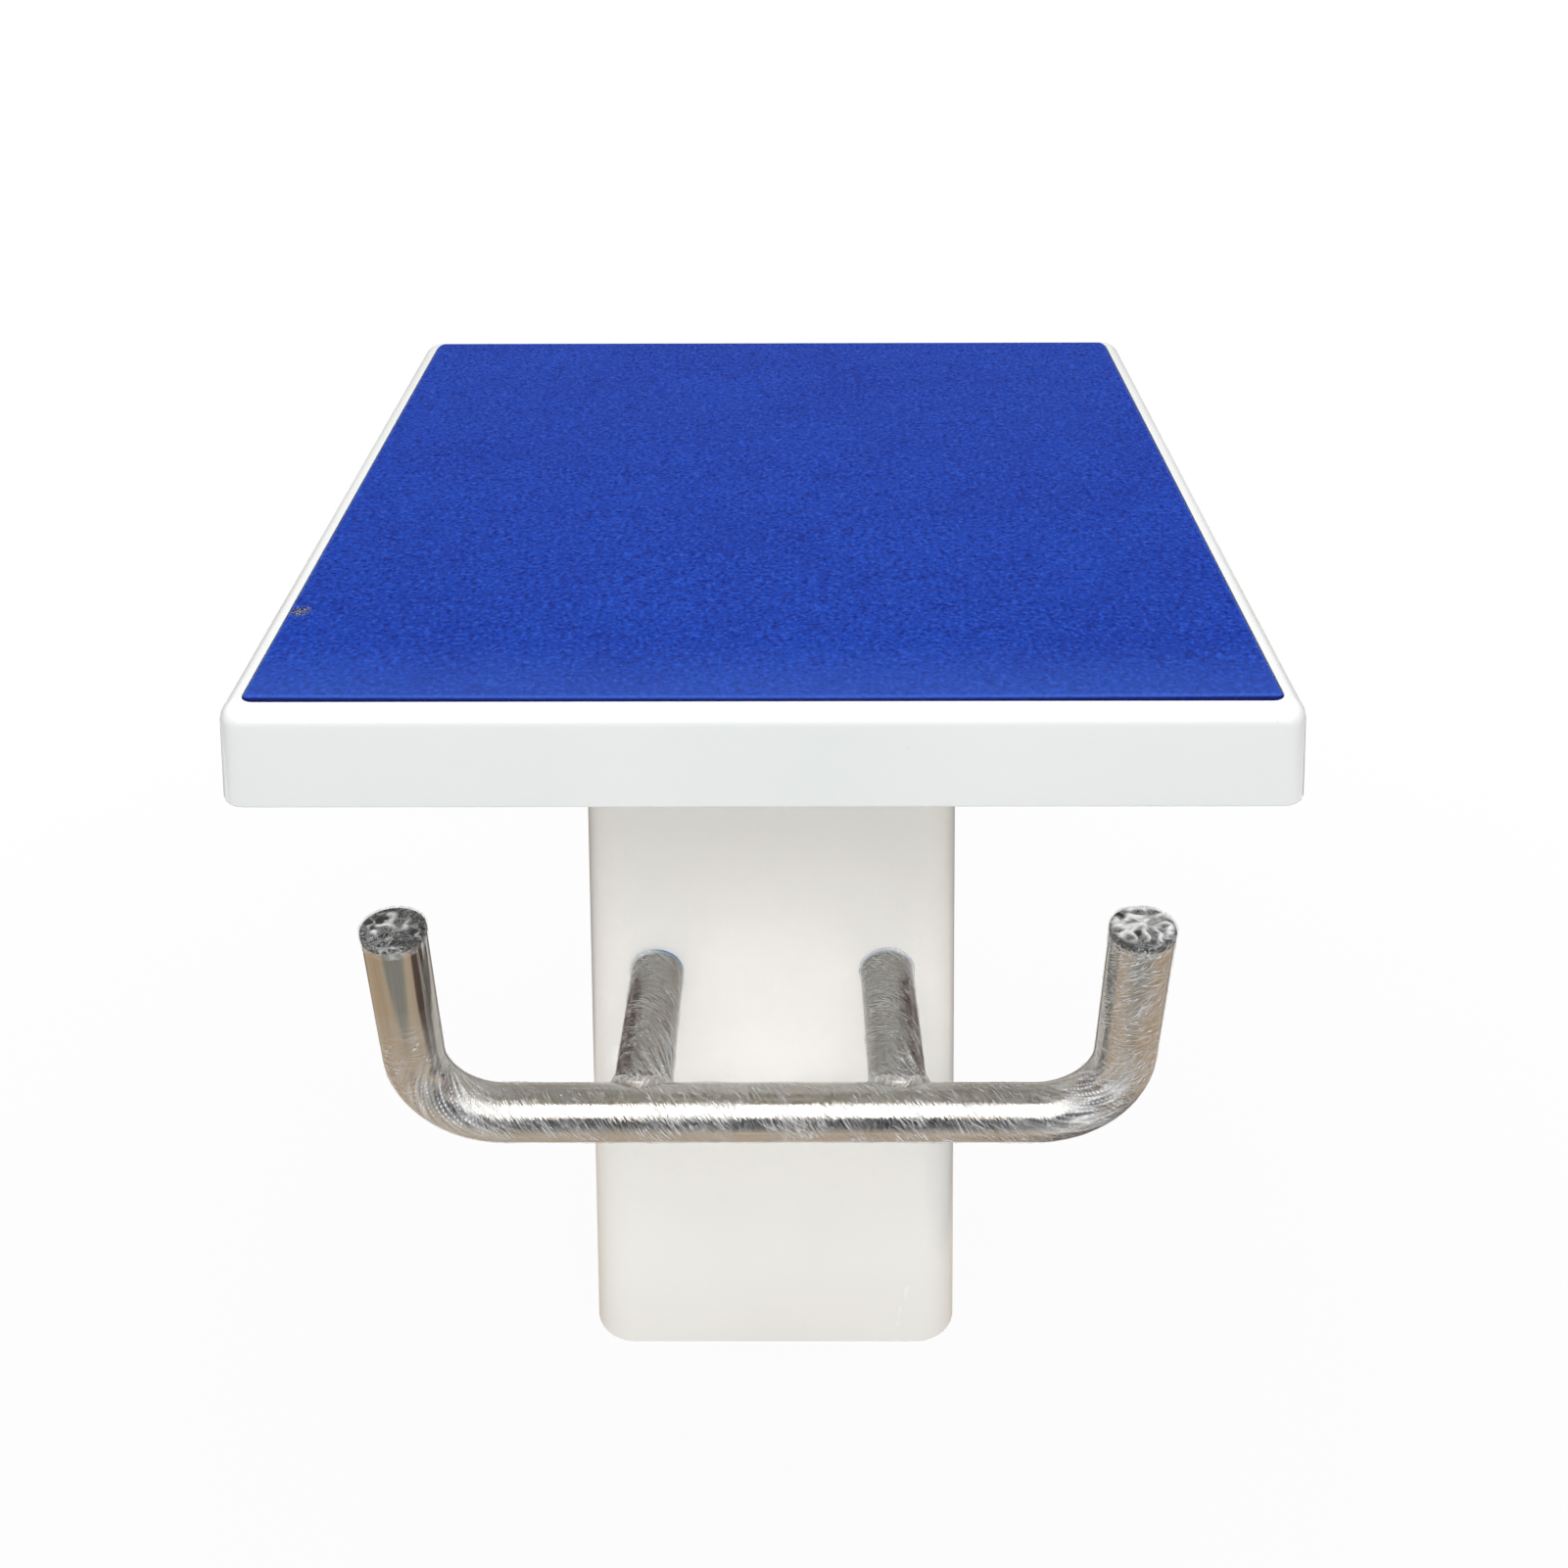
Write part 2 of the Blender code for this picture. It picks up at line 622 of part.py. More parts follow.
def arm_places():
    return [(-ARM_SPACING / 2, 0.0), (ARM_SPACING / 2, 0.0)]


def handle_path():
    """Centre line of the bent tube: down the left horn, along the bar and up the right horn."""
    corner = HANDLE_WIDTH / 2
    bend_start = corner - BEND_RADIUS * math.tan(BEND_ANGLE / 2)
    right = []
    for step in range(BEND_STEPS + 1):
        turn = BEND_ANGLE * step / BEND_STEPS
        right.append((bend_start + BEND_RADIUS * math.sin(turn), BEND_RADIUS * (1 - math.cos(turn)), 0.0))
    right.append((horn_end_x(), HORN_HEIGHT, 0.0))
    return [(-x, y, z) for x, y, z in reversed(right)] + right


def horn_end_x():
    """How far the right horn's end stands from the middle; the horns lean in a little."""
    return HANDLE_WIDTH / 2 + HORN_HEIGHT / math.tan(BEND_ANGLE)


def make_handle_bar(handle, steel):
    mesh = tube_mesh("handle_bar", handle_path(), TUBE_DIAMETER / 2)
    bar = add_object("handle_bar", mesh, handle, material=steel)
    add_wall(bar, "tube_wall", TUBE_WALL)


def make_bar_cutter(wall):
    """The bar's straight run with its clearance, for the arms' saddle cuts."""
    mesh = rod_mesh("bar_clearance", TUBE_DIAMETER / 2 + SEAT_GAP, -HANDLE_WIDTH / 2, HANDLE_WIDTH / 2,
                    CUTTER_SIDES)
    cutter = add_object("bar_clearance", mesh, wall, (0, 0, HANDLE_REACH), (0, QUARTER_TURN, 0))
    return make_cutter(cutter)


def make_arm(name, wall, x, bar_cutter, steel):
    """Support tube with a closed, drilled end at the wall and a saddle cut at the bar."""
    low = SEAL_THICKNESS + 2 * SEAT_GAP
    outer = TUBE_DIAMETER / 2
    bore = outer - TUBE_WALL
    hole = STUD_DIAMETER / 2 + SEAT_GAP
    profile = [(bore, HANDLE_REACH), (outer, HANDLE_REACH), (outer, low), (hole, low),
               (hole, low + ARM_END_WALL), (bore, low + ARM_END_WALL)]
    arm = turned_object(name, profile, wall, steel, (x, 0, 0), steps=TUBE_SIDES, closed=True)
    cut(arm, bar_cutter)


def make_weld(name, wall, x, bar_cutter, steel):
    """Bead that runs round the saddle, where the arm's end meets the bar."""
    radius = TUBE_DIAMETER / 2
    points = []
    for step in range(WELD_STEPS):
        turn = 2 * math.pi * step / WELD_STEPS
        rise = WELD_SADDLE * radius * math.sin(turn)
        points.append((radius * math.cos(turn), radius * math.sin(turn),
                       HANDLE_REACH - math.sqrt(radius ** 2 - rise ** 2)))
    mesh = tube_mesh(name, points, WELD_RADIUS, cyclic=True, resolution=WELD_PROFILE_STEPS)
    bead = add_object(name, mesh, wall, (x, 0, 0), material=steel)
    cut(bead, bar_cutter)
    clearance = add_object(name + "_arm_clearance",
                           rod_mesh(name + "_arm_clearance", radius + SEAT_GAP, 0, HANDLE_REACH + radius,
                                    CUTTER_SIDES), wall, (x, 0, 0))
    cut(bead, make_cutter(clearance))


def make_plug(name, handle, side, material):
    """Push-in end cap: a softly edged rim on a ribbed stem, square to its horn's end."""
    rim = PLUG_RIM_DIAMETER / 2
    stem = TUBE_DIAMETER / 2 - TUBE_WALL - PLUG_STEM_CLEARANCE
    core = stem - PLUG_RIB_DEPTH
    profile = [(0.0, PLUG_RIM_HEIGHT)]
    for step in range(FILLET_STEPS + 1):
        turn = QUARTER_TURN * step / FILLET_STEPS
        profile.append((rim - PLUG_EDGE_RADIUS * (1 - math.sin(turn)),
                        PLUG_RIM_HEIGHT - PLUG_EDGE_RADIUS * (1 - math.cos(turn))))
    profile.append((rim, 0.0))
    pitch = PLUG_STEM_LENGTH / PLUG_RIB_COUNT
    for rib in range(PLUG_RIB_COUNT):
        top = -rib * pitch
        profile += [(core, top), (core, top - pitch / 2), (stem, top - pitch / 2), (core, top - pitch)]
    profile.append((0.0, -PLUG_STEM_LENGTH))
    horn_end = new_frame(name + "_frame", handle, (side * horn_end_x(), HORN_HEIGHT, 0))
    horn_end.rotation_euler.z = side * (BEND_ANGLE - QUARTER_TURN)
    turned_object(name, profile, horn_end, material, (0, SEAT_GAP, 0), (-QUARTER_TURN, 0, 0))


def make_wall_fixings(wall, steel):
    """Backing plate inside the front wall, and a welded stud, seal, washer and nut for each arm."""
    seal_rubber = new_material("seal_rubber", (0.03, 0.16, 0.42), 0.5)
    plate_low = -PEDESTAL_WALL - SEAT_GAP - BACKING_THICKNESS
    washer_low = plate_low - SEAT_GAP - ARM_WASHER_THICKNESS
    nut_low = washer_low - SEAT_GAP - ARM_NUT_HEIGHT
    stud_low = nut_low - STUD_PROJECTION
    stud_high = SEAL_THICKNESS + 2 * SEAT_GAP + STUD_ENGAGEMENT
    stud_hole = STUD_HOLE_DIAMETER / 2
    edge = rounded_rectangle_points(ARM_SPACING + 2 * BACKING_MARGIN, BACKING_HEIGHT,
                                    BACKING_CORNER_RADIUS)
    holes = [circle_points(stud_hole, FINE_SIDES, place) for place in arm_places()]
    add_object("backing_plate", plate_curve("backing_plate", [edge] + holes, BACKING_THICKNESS), wall,
               (0, 0, plate_low + BACKING_THICKNESS / 2), material=steel)
    hexagon = circle_points(ARM_NUT_FLATS / 2 / math.cos(math.pi / HEXAGON_SIDES), HEXAGON_SIDES)
    thread = circle_points(STUD_DIAMETER / 2 + SEAT_GAP, FINE_SIDES)
    seal_ring = [circle_points(TUBE_DIAMETER / 2, TUBE_SIDES), circle_points(stud_hole, FINE_SIDES)]
    washer_ring = [circle_points(ARM_WASHER_DIAMETER / 2, FINE_SIDES), circle_points(stud_hole, FINE_SIDES)]
    for side, (x, y) in zip(("left", "right"), arm_places()):
        add_object("arm_seal_" + side, plate_curve("arm_seal_" + side, seal_ring, SEAL_THICKNESS), wall,
                   (x, y, SEAT_GAP + SEAL_THICKNESS / 2), material=seal_rubber)
        add_object("arm_stud_" + side,
                   rod_mesh("arm_stud_" + side, STUD_DIAMETER / 2, stud_low, stud_high), wall,
                   (x, y, 0), material=steel)
        add_object("arm_washer_" + side,
                   plate_curve("arm_washer_" + side, washer_ring, ARM_WASHER_THICKNESS), wall,
                   (x, y, washer_low + ARM_WASHER_THICKNESS / 2), material=steel)
        add_object("arm_nut_" + side, plate_curve("arm_nut_" + side, [hexagon, thread], ARM_NUT_HEIGHT),
                   wall, (x, y, nut_low + ARM_NUT_HEIGHT / 2), material=steel)


def centre_on_footprint(block, shell):
    """Move the block so that its platform lies evenly before and behind the origin."""
    bpy.context.view_layer.update()
    evaluated = shell.evaluated_get(bpy.context.evaluated_depsgraph_get())
    depths = [(evaluated.matrix_world @ vertex.co).y for vertex in evaluated.data.vertices]
    block.location.y = -(min(depths) + max(depths)) / 2


def main():
    block = new_frame("block_frame")
    deck = new_frame("deck_frame", block, (0, 0, FRONT_HEIGHT), TOP_SLOPE)
    neck_height = deck_plane_height(NECK_SETBACK, FLANGE_BOTTOM)
    wall_lean = math.atan2(NECK_SETBACK - FOOT_SETBACK, neck_height)
    wall = new_frame("front_wall_frame", block, (0, pedestal_section(ARM_HEIGHT)[1], ARM_HEIGHT),
                     QUARTER_TURN - wall_lean)
    handle = new_frame("handle_frame", wall, (0, 0, HANDLE_REACH), wall_lean + HORN_LEAN)

    shell = make_platform_shell(deck)
    make_pad(deck)
    make_core(deck)
    laminate = new_material("bare_laminate", (0.72, 0.73, 0.70), 0.5)
    make_ribs(deck, laminate)
    make_pedestal(block, deck, wall)
    make_floor_plate("pedestal_floor", block, 0.0, FLOOR_THICKNESS, SEAT_GAP, laminate)
    make_flange(deck, laminate)
    galvanised = new_material("galvanised_plate", (0.45, 0.46, 0.47), 0.45, 1.0)
    make_floor_plate("anchor_plate", block, FLOOR_THICKNESS + SEAT_GAP, ANCHOR_PLATE_THICKNESS,
                     ANCHOR_PLATE_CLEARANCE, galvanised)

    stainless = new_material("stainless_tube", (0.62, 0.60, 0.57), 0.25, 1.0)
    fixings = new_material("stainless_fixings", (0.55, 0.55, 0.54), 0.35, 1.0)
    make_flange_screws(deck, fixings)
    make_handle_bar(handle, stainless)
    bar_cutter = make_bar_cutter(wall)
    plug_black = new_material("plug_black", (0.015, 0.015, 0.016), 0.4)
    for side, (x, _) in zip(("left", "right"), arm_places()):
        make_arm("support_arm_" + side, wall, x, bar_cutter, stainless)
        make_weld("weld_bead_" + side, wall, x, bar_cutter, stainless)
        make_plug("horn_plug_" + side, handle, math.copysign(1, x), plug_black)
    make_wall_fixings(wall, fixings)
    centre_on_footprint(block, shell)


main()
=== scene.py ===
"""Looks of the pool starting block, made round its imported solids.

Metres throughout, in the solids' own frame: X across the block, Y away from the pool, Z up.
"""
import math

import bmesh
import bpy
import numpy as np
from mathutils import Matrix, Vector, noise


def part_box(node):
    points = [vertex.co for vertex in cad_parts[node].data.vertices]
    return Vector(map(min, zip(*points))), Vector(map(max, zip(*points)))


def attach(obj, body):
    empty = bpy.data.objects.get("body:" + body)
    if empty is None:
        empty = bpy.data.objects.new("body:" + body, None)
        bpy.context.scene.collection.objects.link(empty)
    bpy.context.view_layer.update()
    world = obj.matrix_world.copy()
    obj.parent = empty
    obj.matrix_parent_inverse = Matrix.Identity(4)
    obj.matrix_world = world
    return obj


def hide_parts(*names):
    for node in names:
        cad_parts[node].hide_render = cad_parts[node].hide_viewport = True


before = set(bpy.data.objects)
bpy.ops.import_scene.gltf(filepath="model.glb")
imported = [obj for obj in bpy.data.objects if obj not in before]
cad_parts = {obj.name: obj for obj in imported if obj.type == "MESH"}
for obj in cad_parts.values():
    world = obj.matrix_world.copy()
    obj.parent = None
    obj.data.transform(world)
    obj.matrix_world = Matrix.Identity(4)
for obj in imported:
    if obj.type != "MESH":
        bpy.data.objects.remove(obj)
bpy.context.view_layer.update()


# The pedestal is a tapered hollow moulding of glass-fibre laminate with a glossy white gelcoat.
# It is laid up by hand in a split mould, so its flats wave a little and its gloss is uneven.

MERGE_DISTANCE = 0.00002
FLAT_ANGLE = math.radians(0.6)
SHARP_ANGLE = math.radians(38)
CLOUD_ROUGHNESS = 0.55


class Nodes:
    """A node tree that is built node by node. Its short methods hand back a socket to link onwards."""

    def __init__(self, tree):
        self.tree = tree

    def add(self, kind, inputs=None, **settings):
        node = self.tree.nodes.new(kind)
        for name, value in settings.items():
            setattr(node, name, value)
        for socket, value in (inputs or {}).items():
            self.join(value, node.inputs[socket])
        return node

    def join(self, value, socket):
        if isinstance(value, bpy.types.NodeSocket):
            self.tree.links.new(value, socket)
        else:
            socket.default_value = value

    def reckon(self, operation, first, second=0.0):
        return self.add("ShaderNodeMath", {0: first, 1: second}, operation=operation).outputs[0]

    def times(self, first, second):
        return self.reckon("MULTIPLY", first, second)

    def most(self, first, second):
        return self.reckon("MAXIMUM", first, second)

    def axis(self, vector, letter):
        return self.add("ShaderNodeSeparateXYZ", {"Vector": vector}).outputs[letter]

    def band(self, value, low, high, to_low=0.0, to_high=1.0):
        inputs = {"Value": value, "From Min": low, "From Max": high, "To Min": to_low, "To Max": to_high}
        return self.add("ShaderNodeMapRange", inputs).outputs[0]


class Finish(Nodes):
    """A material, built in the same way round the shader that every new material has."""

    def __init__(self, name):
        self.material = bpy.data.materials.new(name)
        self.material.use_nodes = True
        super().__init__(self.material.node_tree)
        self.shader = self.tree.nodes["Principled BSDF"]
        self.place = self.add("ShaderNodeTexCoord").outputs["Object"]

    def surface(self, **inputs):
        for name, value in inputs.items():
            self.join(value, self.shader.inputs[name.replace("_", " ")])

    def carried(self, attribute, output="Fac"):
        return self.add("ShaderNodeAttribute", attribute_name=attribute).outputs[output]

    def stretched(self, scale, place=None, turn=(0.0, 0.0, 0.0)):
        inputs = {"Vector": place or self.place, "Scale": scale, "Rotation": turn}
        return self.add("ShaderNodeMapping", inputs).outputs[0]

    def cloud(self, scale, detail=3.0, place=None):
        inputs = {"Vector": place or self.place, "Scale": scale, "Detail": detail}
        return self.add("ShaderNodeTexNoise", {**inputs, "Roughness": CLOUD_ROUGHNESS}).outputs[0]

    def cells(self, scale, place=None, output="Distance"):
        inputs = {"Vector": place or self.place, "Scale": scale}
        return self.add("ShaderNodeTexVoronoi", inputs).outputs[output]

    def blend(self, share, first, second):
        node = self.add("ShaderNodeMix", data_type="RGBA")
        self.join(share, node.inputs[0])
        for value, socket in ((first, node.inputs[6]), (second, node.inputs[7])):
            self.join(value if isinstance(value, bpy.types.NodeSocket) else (*value, 1.0), socket)
        return node.outputs[2]

    def relief(self, height, depth, strength=1.0, under=None):
        inputs = {"Height": height, "Distance": depth, "Strength": strength}
        if under is not None:
            inputs["Normal"] = under
        return self.add("ShaderNodeBump", inputs).outputs[0]


def shade(mesh, sharp):
    mesh.shade_smooth()
    mesh.set_sharp_from_angle(angle=sharp)


def new_object(name, data):
    made = bpy.data.objects.new(name, data)
    bpy.context.scene.collection.objects.link(made)
    return made


def add_piece(name, mesh, finish, slot, *nodes):
    """A piece of the block that can be seen. It takes the place of the nodes that are named."""
    piece = new_object(name, mesh)
    piece.data.materials.clear()
    piece.data.materials.append(finish.material)
    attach(piece, "root")
    if nodes:
        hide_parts(*nodes)
    return piece


def smooth_copy(node, name, finish, edge=0.0):
    """A solid's own shape, shaded as one skin and with its crisp edges eased, which stands for it."""
    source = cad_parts[node]
    bm = bmesh.new()
    bm.from_mesh(source.data)
    bmesh.ops.remove_doubles(bm, verts=bm.verts, dist=MERGE_DISTANCE)
    bmesh.ops.dissolve_limit(bm, angle_limit=FLAT_ANGLE, verts=bm.verts, edges=bm.edges)
    mesh = bpy.data.meshes.new(name)
    bm.to_mesh(mesh)
    bm.free()
    shade(mesh, SHARP_ANGLE)
    piece = add_piece(name, mesh, finish, source.data.materials[0].name, node)
    if edge > 0:
        bevel = piece.modifiers.new("eased_edges", "BEVEL")
        bevel.width = edge
        bevel.segments = 2
        bevel.limit_method = "ANGLE"
        bevel.angle_limit = SHARP_ANGLE
    level = piece.modifiers.new("flat_faces_first", "WEIGHTED_NORMAL")
    level.keep_sharp = edge == 0


def gelcoat_finish(name, clean, shaded, gloss):
    """Sprayed gelcoat: orange peel, slow waves left by the mould, and a thin uneven tint."""
    finish = Finish(name)
    drift = finish.cloud(5.0, 2.0, finish.stretched((1.0, 1.0, 0.45)))
    tint = finish.blend(finish.band(drift, 0.35, 0.7), clean, shaded)
    specks = finish.band(finish.cells(75.0), 0.035, 0.05, 1.0, 0.0)
    rare = finish.band(finish.cloud(9.0, 1.0), 0.62, 0.66)
    grey = finish.times(finish.times(specks, rare), 0.3)
    smears = finish.cloud(14.0, 4.0, finish.stretched((1.0, 1.0, 0.3)))
    waves = finish.relief(finish.cloud(7.0, 1.0), 0.0016, 0.5)
    finish.surface(
        Base_Color=finish.blend(grey, tint, (0.45, 0.44, 0.40)),
        Roughness=finish.band(smears, 0.3, 0.75, gloss, gloss + 0.12),
        Normal=finish.relief(finish.cloud(420.0, 1.0), 0.00004, 0.2, waves),
        Coat_Weight=0.3, Coat_Roughness=0.06)
    return finish


# Coloured lighter than the platform's gelcoat, which is the same white: painted light that makes up for the
# shade under the platform.
smooth_copy("pedestal_shell", "pedestal_moulding",
            gelcoat_finish("pedestal_gelcoat", (0.87, 0.862, 0.838), (0.82, 0.810, 0.775), 0.16),
            edge=0.0004)


# The pedestal's floor, its flange and the three top-hat ribs are chopped-strand laminate plates.
# They are cut from sheet or laid over foam and bonded in, and show their strands through bare resin.

def coat_solids(finish, *nodes):
    """Solids that are shown as they are, with a material of the scene's."""
    for node in nodes:
        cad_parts[node].material_slots[0].material = finish.material


laminate = Finish("bare_laminate")
strands = 0.0
for number, turn in enumerate((0.3, 1.25, 2.2, 2.8)):
    turned = laminate.stretched((60.0, 900.0, 400.0), turn=(0.0, 0.2 * number, turn))
    strands = laminate.most(strands, laminate.band(laminate.cloud(1.0, 1.0, turned), 0.56, 0.68))
resin = laminate.blend(laminate.cloud(12.0), (0.58, 0.60, 0.55), (0.70, 0.70, 0.66))
laminate.surface(
    Base_Color=laminate.blend(strands, resin, (0.80, 0.81, 0.78)),
    Roughness=laminate.band(strands, 0.0, 1.0, 0.32, 0.55),
    Normal=laminate.relief(strands, 0.0003, 0.8, laminate.relief(laminate.cloud(40.0), 0.0008)))
coat_solids(laminate, "pedestal_floor", "pedestal_flange", "rib_left", "rib_right", "rib_front")


# The anchor plate is hot-dip galvanised steel, clamped to the pedestal's floor by the deck anchors.
# Its zinc shows large soft crystals and a few dull white patches.

zinc = Finish("galvanised_zinc")
sparkle = zinc.blend(0.5, zinc.cells(55.0, output="Color"), zinc.cells(130.0, output="Color"))
crystals = zinc.blend(sparkle, (0.40, 0.42, 0.44), (0.62, 0.63, 0.64))
zinc.surface(
    Base_Color=zinc.blend(zinc.band(zinc.cloud(18.0), 0.55, 0.7), crystals, (0.70, 0.70, 0.69)),
    Roughness=zinc.band(zinc.cells(55.0), 0.0, 1.0, 0.32, 0.6),
    Normal=zinc.relief(zinc.cloud(160.0), 0.0002, 0.5),
    Metallic=0.9)
smooth_copy("anchor_plate", "anchor_plate_galvanised", zinc, edge=0.0006)


# The backing plate, studs, washers and nuts hold the support tubes to the pedestal's front wall.
# They are plain stainless steel: the plate is sheared and drilled, and the studs are rolled threads.

THREAD_PITCH = 0.002


def smooth_pair(kind, made_of, finish, edge=0.0):
    for side in ("left", "right"):
        smooth_copy(f"{kind}_{side}", f"{kind}_{side}_{made_of}", finish, edge)


fixing = Finish("fixing_steel")
scratch = fixing.cloud(1.0, 2.0, fixing.stretched((900.0, 80.0, 900.0)))
fixing.surface(
    Base_Color=fixing.blend(scratch, (0.50, 0.49, 0.47), (0.68, 0.67, 0.65)),
    Roughness=fixing.band(fixing.cloud(60.0), 0.3, 0.7, 0.22, 0.42),
    Normal=fixing.relief(scratch, 0.00005, 0.6),
    Metallic=1.0)
smooth_copy("backing_plate", "backing_plate_stainless", fixing, edge=0.0004)
smooth_pair("arm_washer", "stainless", fixing, edge=0.0004)
smooth_pair("arm_nut", "stainless", fixing, edge=0.0007)

stud = Finish("threaded_stud_steel")
# The colour follows the thread and is darker in its grooves: painted shade.
thread = stud.reckon("SINE", stud.times(stud.axis(stud.place, "Y"), 2 * math.pi / THREAD_PITCH))
stud.surface(
    Base_Color=stud.blend(stud.band(thread, -1.0, 0.2), (0.34, 0.33, 0.32), (0.66, 0.65, 0.63)),
    Roughness=stud.band(stud.cloud(200.0), 0.3, 0.7, 0.25, 0.4),
    Normal=stud.relief(thread, 0.0008, 0.8),
    Metallic=1.0)
coat_solids(stud, "arm_stud_left", "arm_stud_right")


# The platform is a shallow tray moulded upside down in the same laminate, with a rounded lip.
# Its top is recessed for the pad, so a thin bright rim of gelcoat shows all the way round.

# Coloured darker than the pedestal's gelcoat, which is the same white: painted shade for the dimmer light on
# the platform's apron.
smooth_copy("platform_shell", "platform_moulding",
            gelcoat_finish("platform_gelcoat", (0.67, 0.688, 0.683), (0.635, 0.657, 0.647), 0.14),
            edge=0.0004)


# The core is a board bonded under the deck to stiffen it, drilled for the pedestal's screws.
# It is laminated wood sealed with thin resin, so its grain runs across the block.

board = Finish("sealed_core_board")
rings = board.cloud(1.0, 5.0, board.stretched((8.0, 260.0, 260.0)))
knots = board.cloud(1.0, 2.0, board.stretched((6.0, 30.0, 30.0)))
wood = board.blend(knots, (0.50, 0.38, 0.23), (0.62, 0.50, 0.33))
board.surface(
    Base_Color=board.blend(rings, wood, (0.68, 0.58, 0.42)),
    Roughness=board.band(rings, 0.3, 0.7, 0.38, 0.6),
    Normal=board.relief(rings, 0.0002, 0.7))
coat_solids(board, "deck_core")


# Eight hexagon-headed screws and their washers hold the flange up to the core, in stainless steel.
# The heads are forged with a chamfered top, and each screw is turned by hand to a different angle.

SCREW_COUNT = 8
SCREW_LENGTH = 0.022
HEAD_FLATS = 0.013
HEAD_HEIGHT = 0.0053
HEAD_SIDES = 24
CHAMFER_START = 0.86
CROWN_OUTER = 0.93
CROWN_INNER = 0.45
SHANK_RADIUS = 0.004
SHANK_LENGTH = 0.008
WASHER_THICKNESS = 0.0016
WASHER_OUTER = 0.0085
WASHER_INNER = 0.00475
WASHER_EASE = 0.0003
WASHER_SIDES = 32
FASTENER_EDGE = math.radians(30)
DECK_SLOPE = math.radians(5.0)
deck_up = Vector((0.0, -math.sin(DECK_SLOPE), math.cos(DECK_SLOPE)))
deck_back = Vector((0.0, math.cos(DECK_SLOPE), math.sin(DECK_SLOPE)))


def bridge(bm, upper, lower):
    """Faces between one ring of vertices and the next."""
    for step in range(len(upper)):
        follow = (step + 1) % len(upper)
        bm.faces.new((upper[step], lower[step], lower[follow], upper[follow]))


def ring_rows(bm, profile, sides, flats=False):
    """Join rings of a turned profile. Flats gives them six sides in place of round ones."""
    rows = []
    for radius, height in profile:
        row = []
        for step in range(sides):
            turn = 2 * math.pi * step / sides
            sector = math.pi / 3
            reach = radius / math.cos((turn + sector / 2) % sector - sector / 2) if flats else radius
            row.append(bm.verts.new((reach * math.cos(turn), reach * math.sin(turn), height)))
        rows.append(row)
    for upper, lower in zip(rows, rows[1:]):
        bridge(bm, upper, lower)
    return rows


def write_out(bm, mesh):
    """Turn the faces of a bmesh outwards and write it to a mesh."""
    bmesh.ops.recalc_face_normals(bm, faces=bm.faces)
    bm.to_mesh(mesh)
    bm.free()
    return mesh


def hexagon_head_mesh():
    """A head that hangs below its seat at zero, and the start of its shank above."""
    bm = bmesh.new()
    half = HEAD_FLATS / 2
    rows = ring_rows(bm, [(half, 0.0), (half, -HEAD_HEIGHT * CHAMFER_START)], HEAD_SIDES, flats=True)
    crown = ring_rows(bm, [(half * share, -HEAD_HEIGHT) for share in (CROWN_OUTER, CROWN_INNER)], HEAD_SIDES)
    bridge(bm, rows[1], crown[0])
    bm.faces.new(reversed(crown[1]))
    shank = ring_rows(bm, [(SHANK_RADIUS, 0.0), (SHANK_RADIUS, SHANK_LENGTH)], HEAD_SIDES)
    bridge(bm, shank[0], rows[0])
    bm.faces.new(shank[1])
    return write_out(bm, bpy.data.meshes.new("hexagon_head"))


def washer_mesh():
    bm = bmesh.new()
    high, ease = WASHER_THICKNESS, WASHER_EASE
    profile = [(WASHER_INNER, 0.0), (WASHER_OUTER - ease, 0.0), (WASHER_OUTER, ease),
               (WASHER_OUTER, high - ease), (WASHER_OUTER - ease, high), (WASHER_INNER, high)]
    rows = ring_rows(bm, profile, WASHER_SIDES)
    bridge(bm, rows[-1], rows[0])
    return write_out(bm, bpy.data.meshes.new("washer"))


class Growth(Nodes):
    """A Geometry Nodes tree with named sizes, run once on a mesh and turned into a plain one."""

    def __init__(self, name, sizes):
        super().__init__(bpy.data.node_groups.new(name, "GeometryNodeTree"))
        face = self.tree.interface
        face.new_socket("Geometry", in_out="INPUT", socket_type="NodeSocketGeometry")
        face.new_socket("Geometry", in_out="OUTPUT", socket_type="NodeSocketGeometry")
        self.sizes = {}
        for size, value in sizes.items():
            kind = "NodeSocketInt" if isinstance(value, int) else "NodeSocketFloat"
            self.sizes[face.new_socket(size, in_out="INPUT", socket_type=kind).identifier] = value
        self.given = self.add("NodeGroupInput").outputs

    def grow(self, name, mesh, geometry, finish):
        """End the tree, run it on a mesh and hand back the plain mesh that it makes."""
        realized = self.add("GeometryNodeRealizeInstances", {"Geometry": geometry}).outputs[0]
        coated = self.add("GeometryNodeSetMaterial", {"Geometry": realized, "Material": finish.material})
        self.add("NodeGroupOutput", {"Geometry": coated.outputs[0]})
        carrier = new_object(name, mesh)
        modifier = carrier.modifiers.new(name, "NODES")
        modifier.node_group = self.tree
        for identifier, value in self.sizes.items():
            modifier[identifier] = value
        bpy.context.view_layer.update()
        evaluated = carrier.evaluated_get(bpy.context.evaluated_depsgraph_get())
        grown = bpy.data.meshes.new_from_object(evaluated)
        grown.name = name
        bpy.data.objects.remove(carrier, do_unlink=True)
        return grown


def box_middle(node):
    low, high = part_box(node)
    return (low + high) / 2


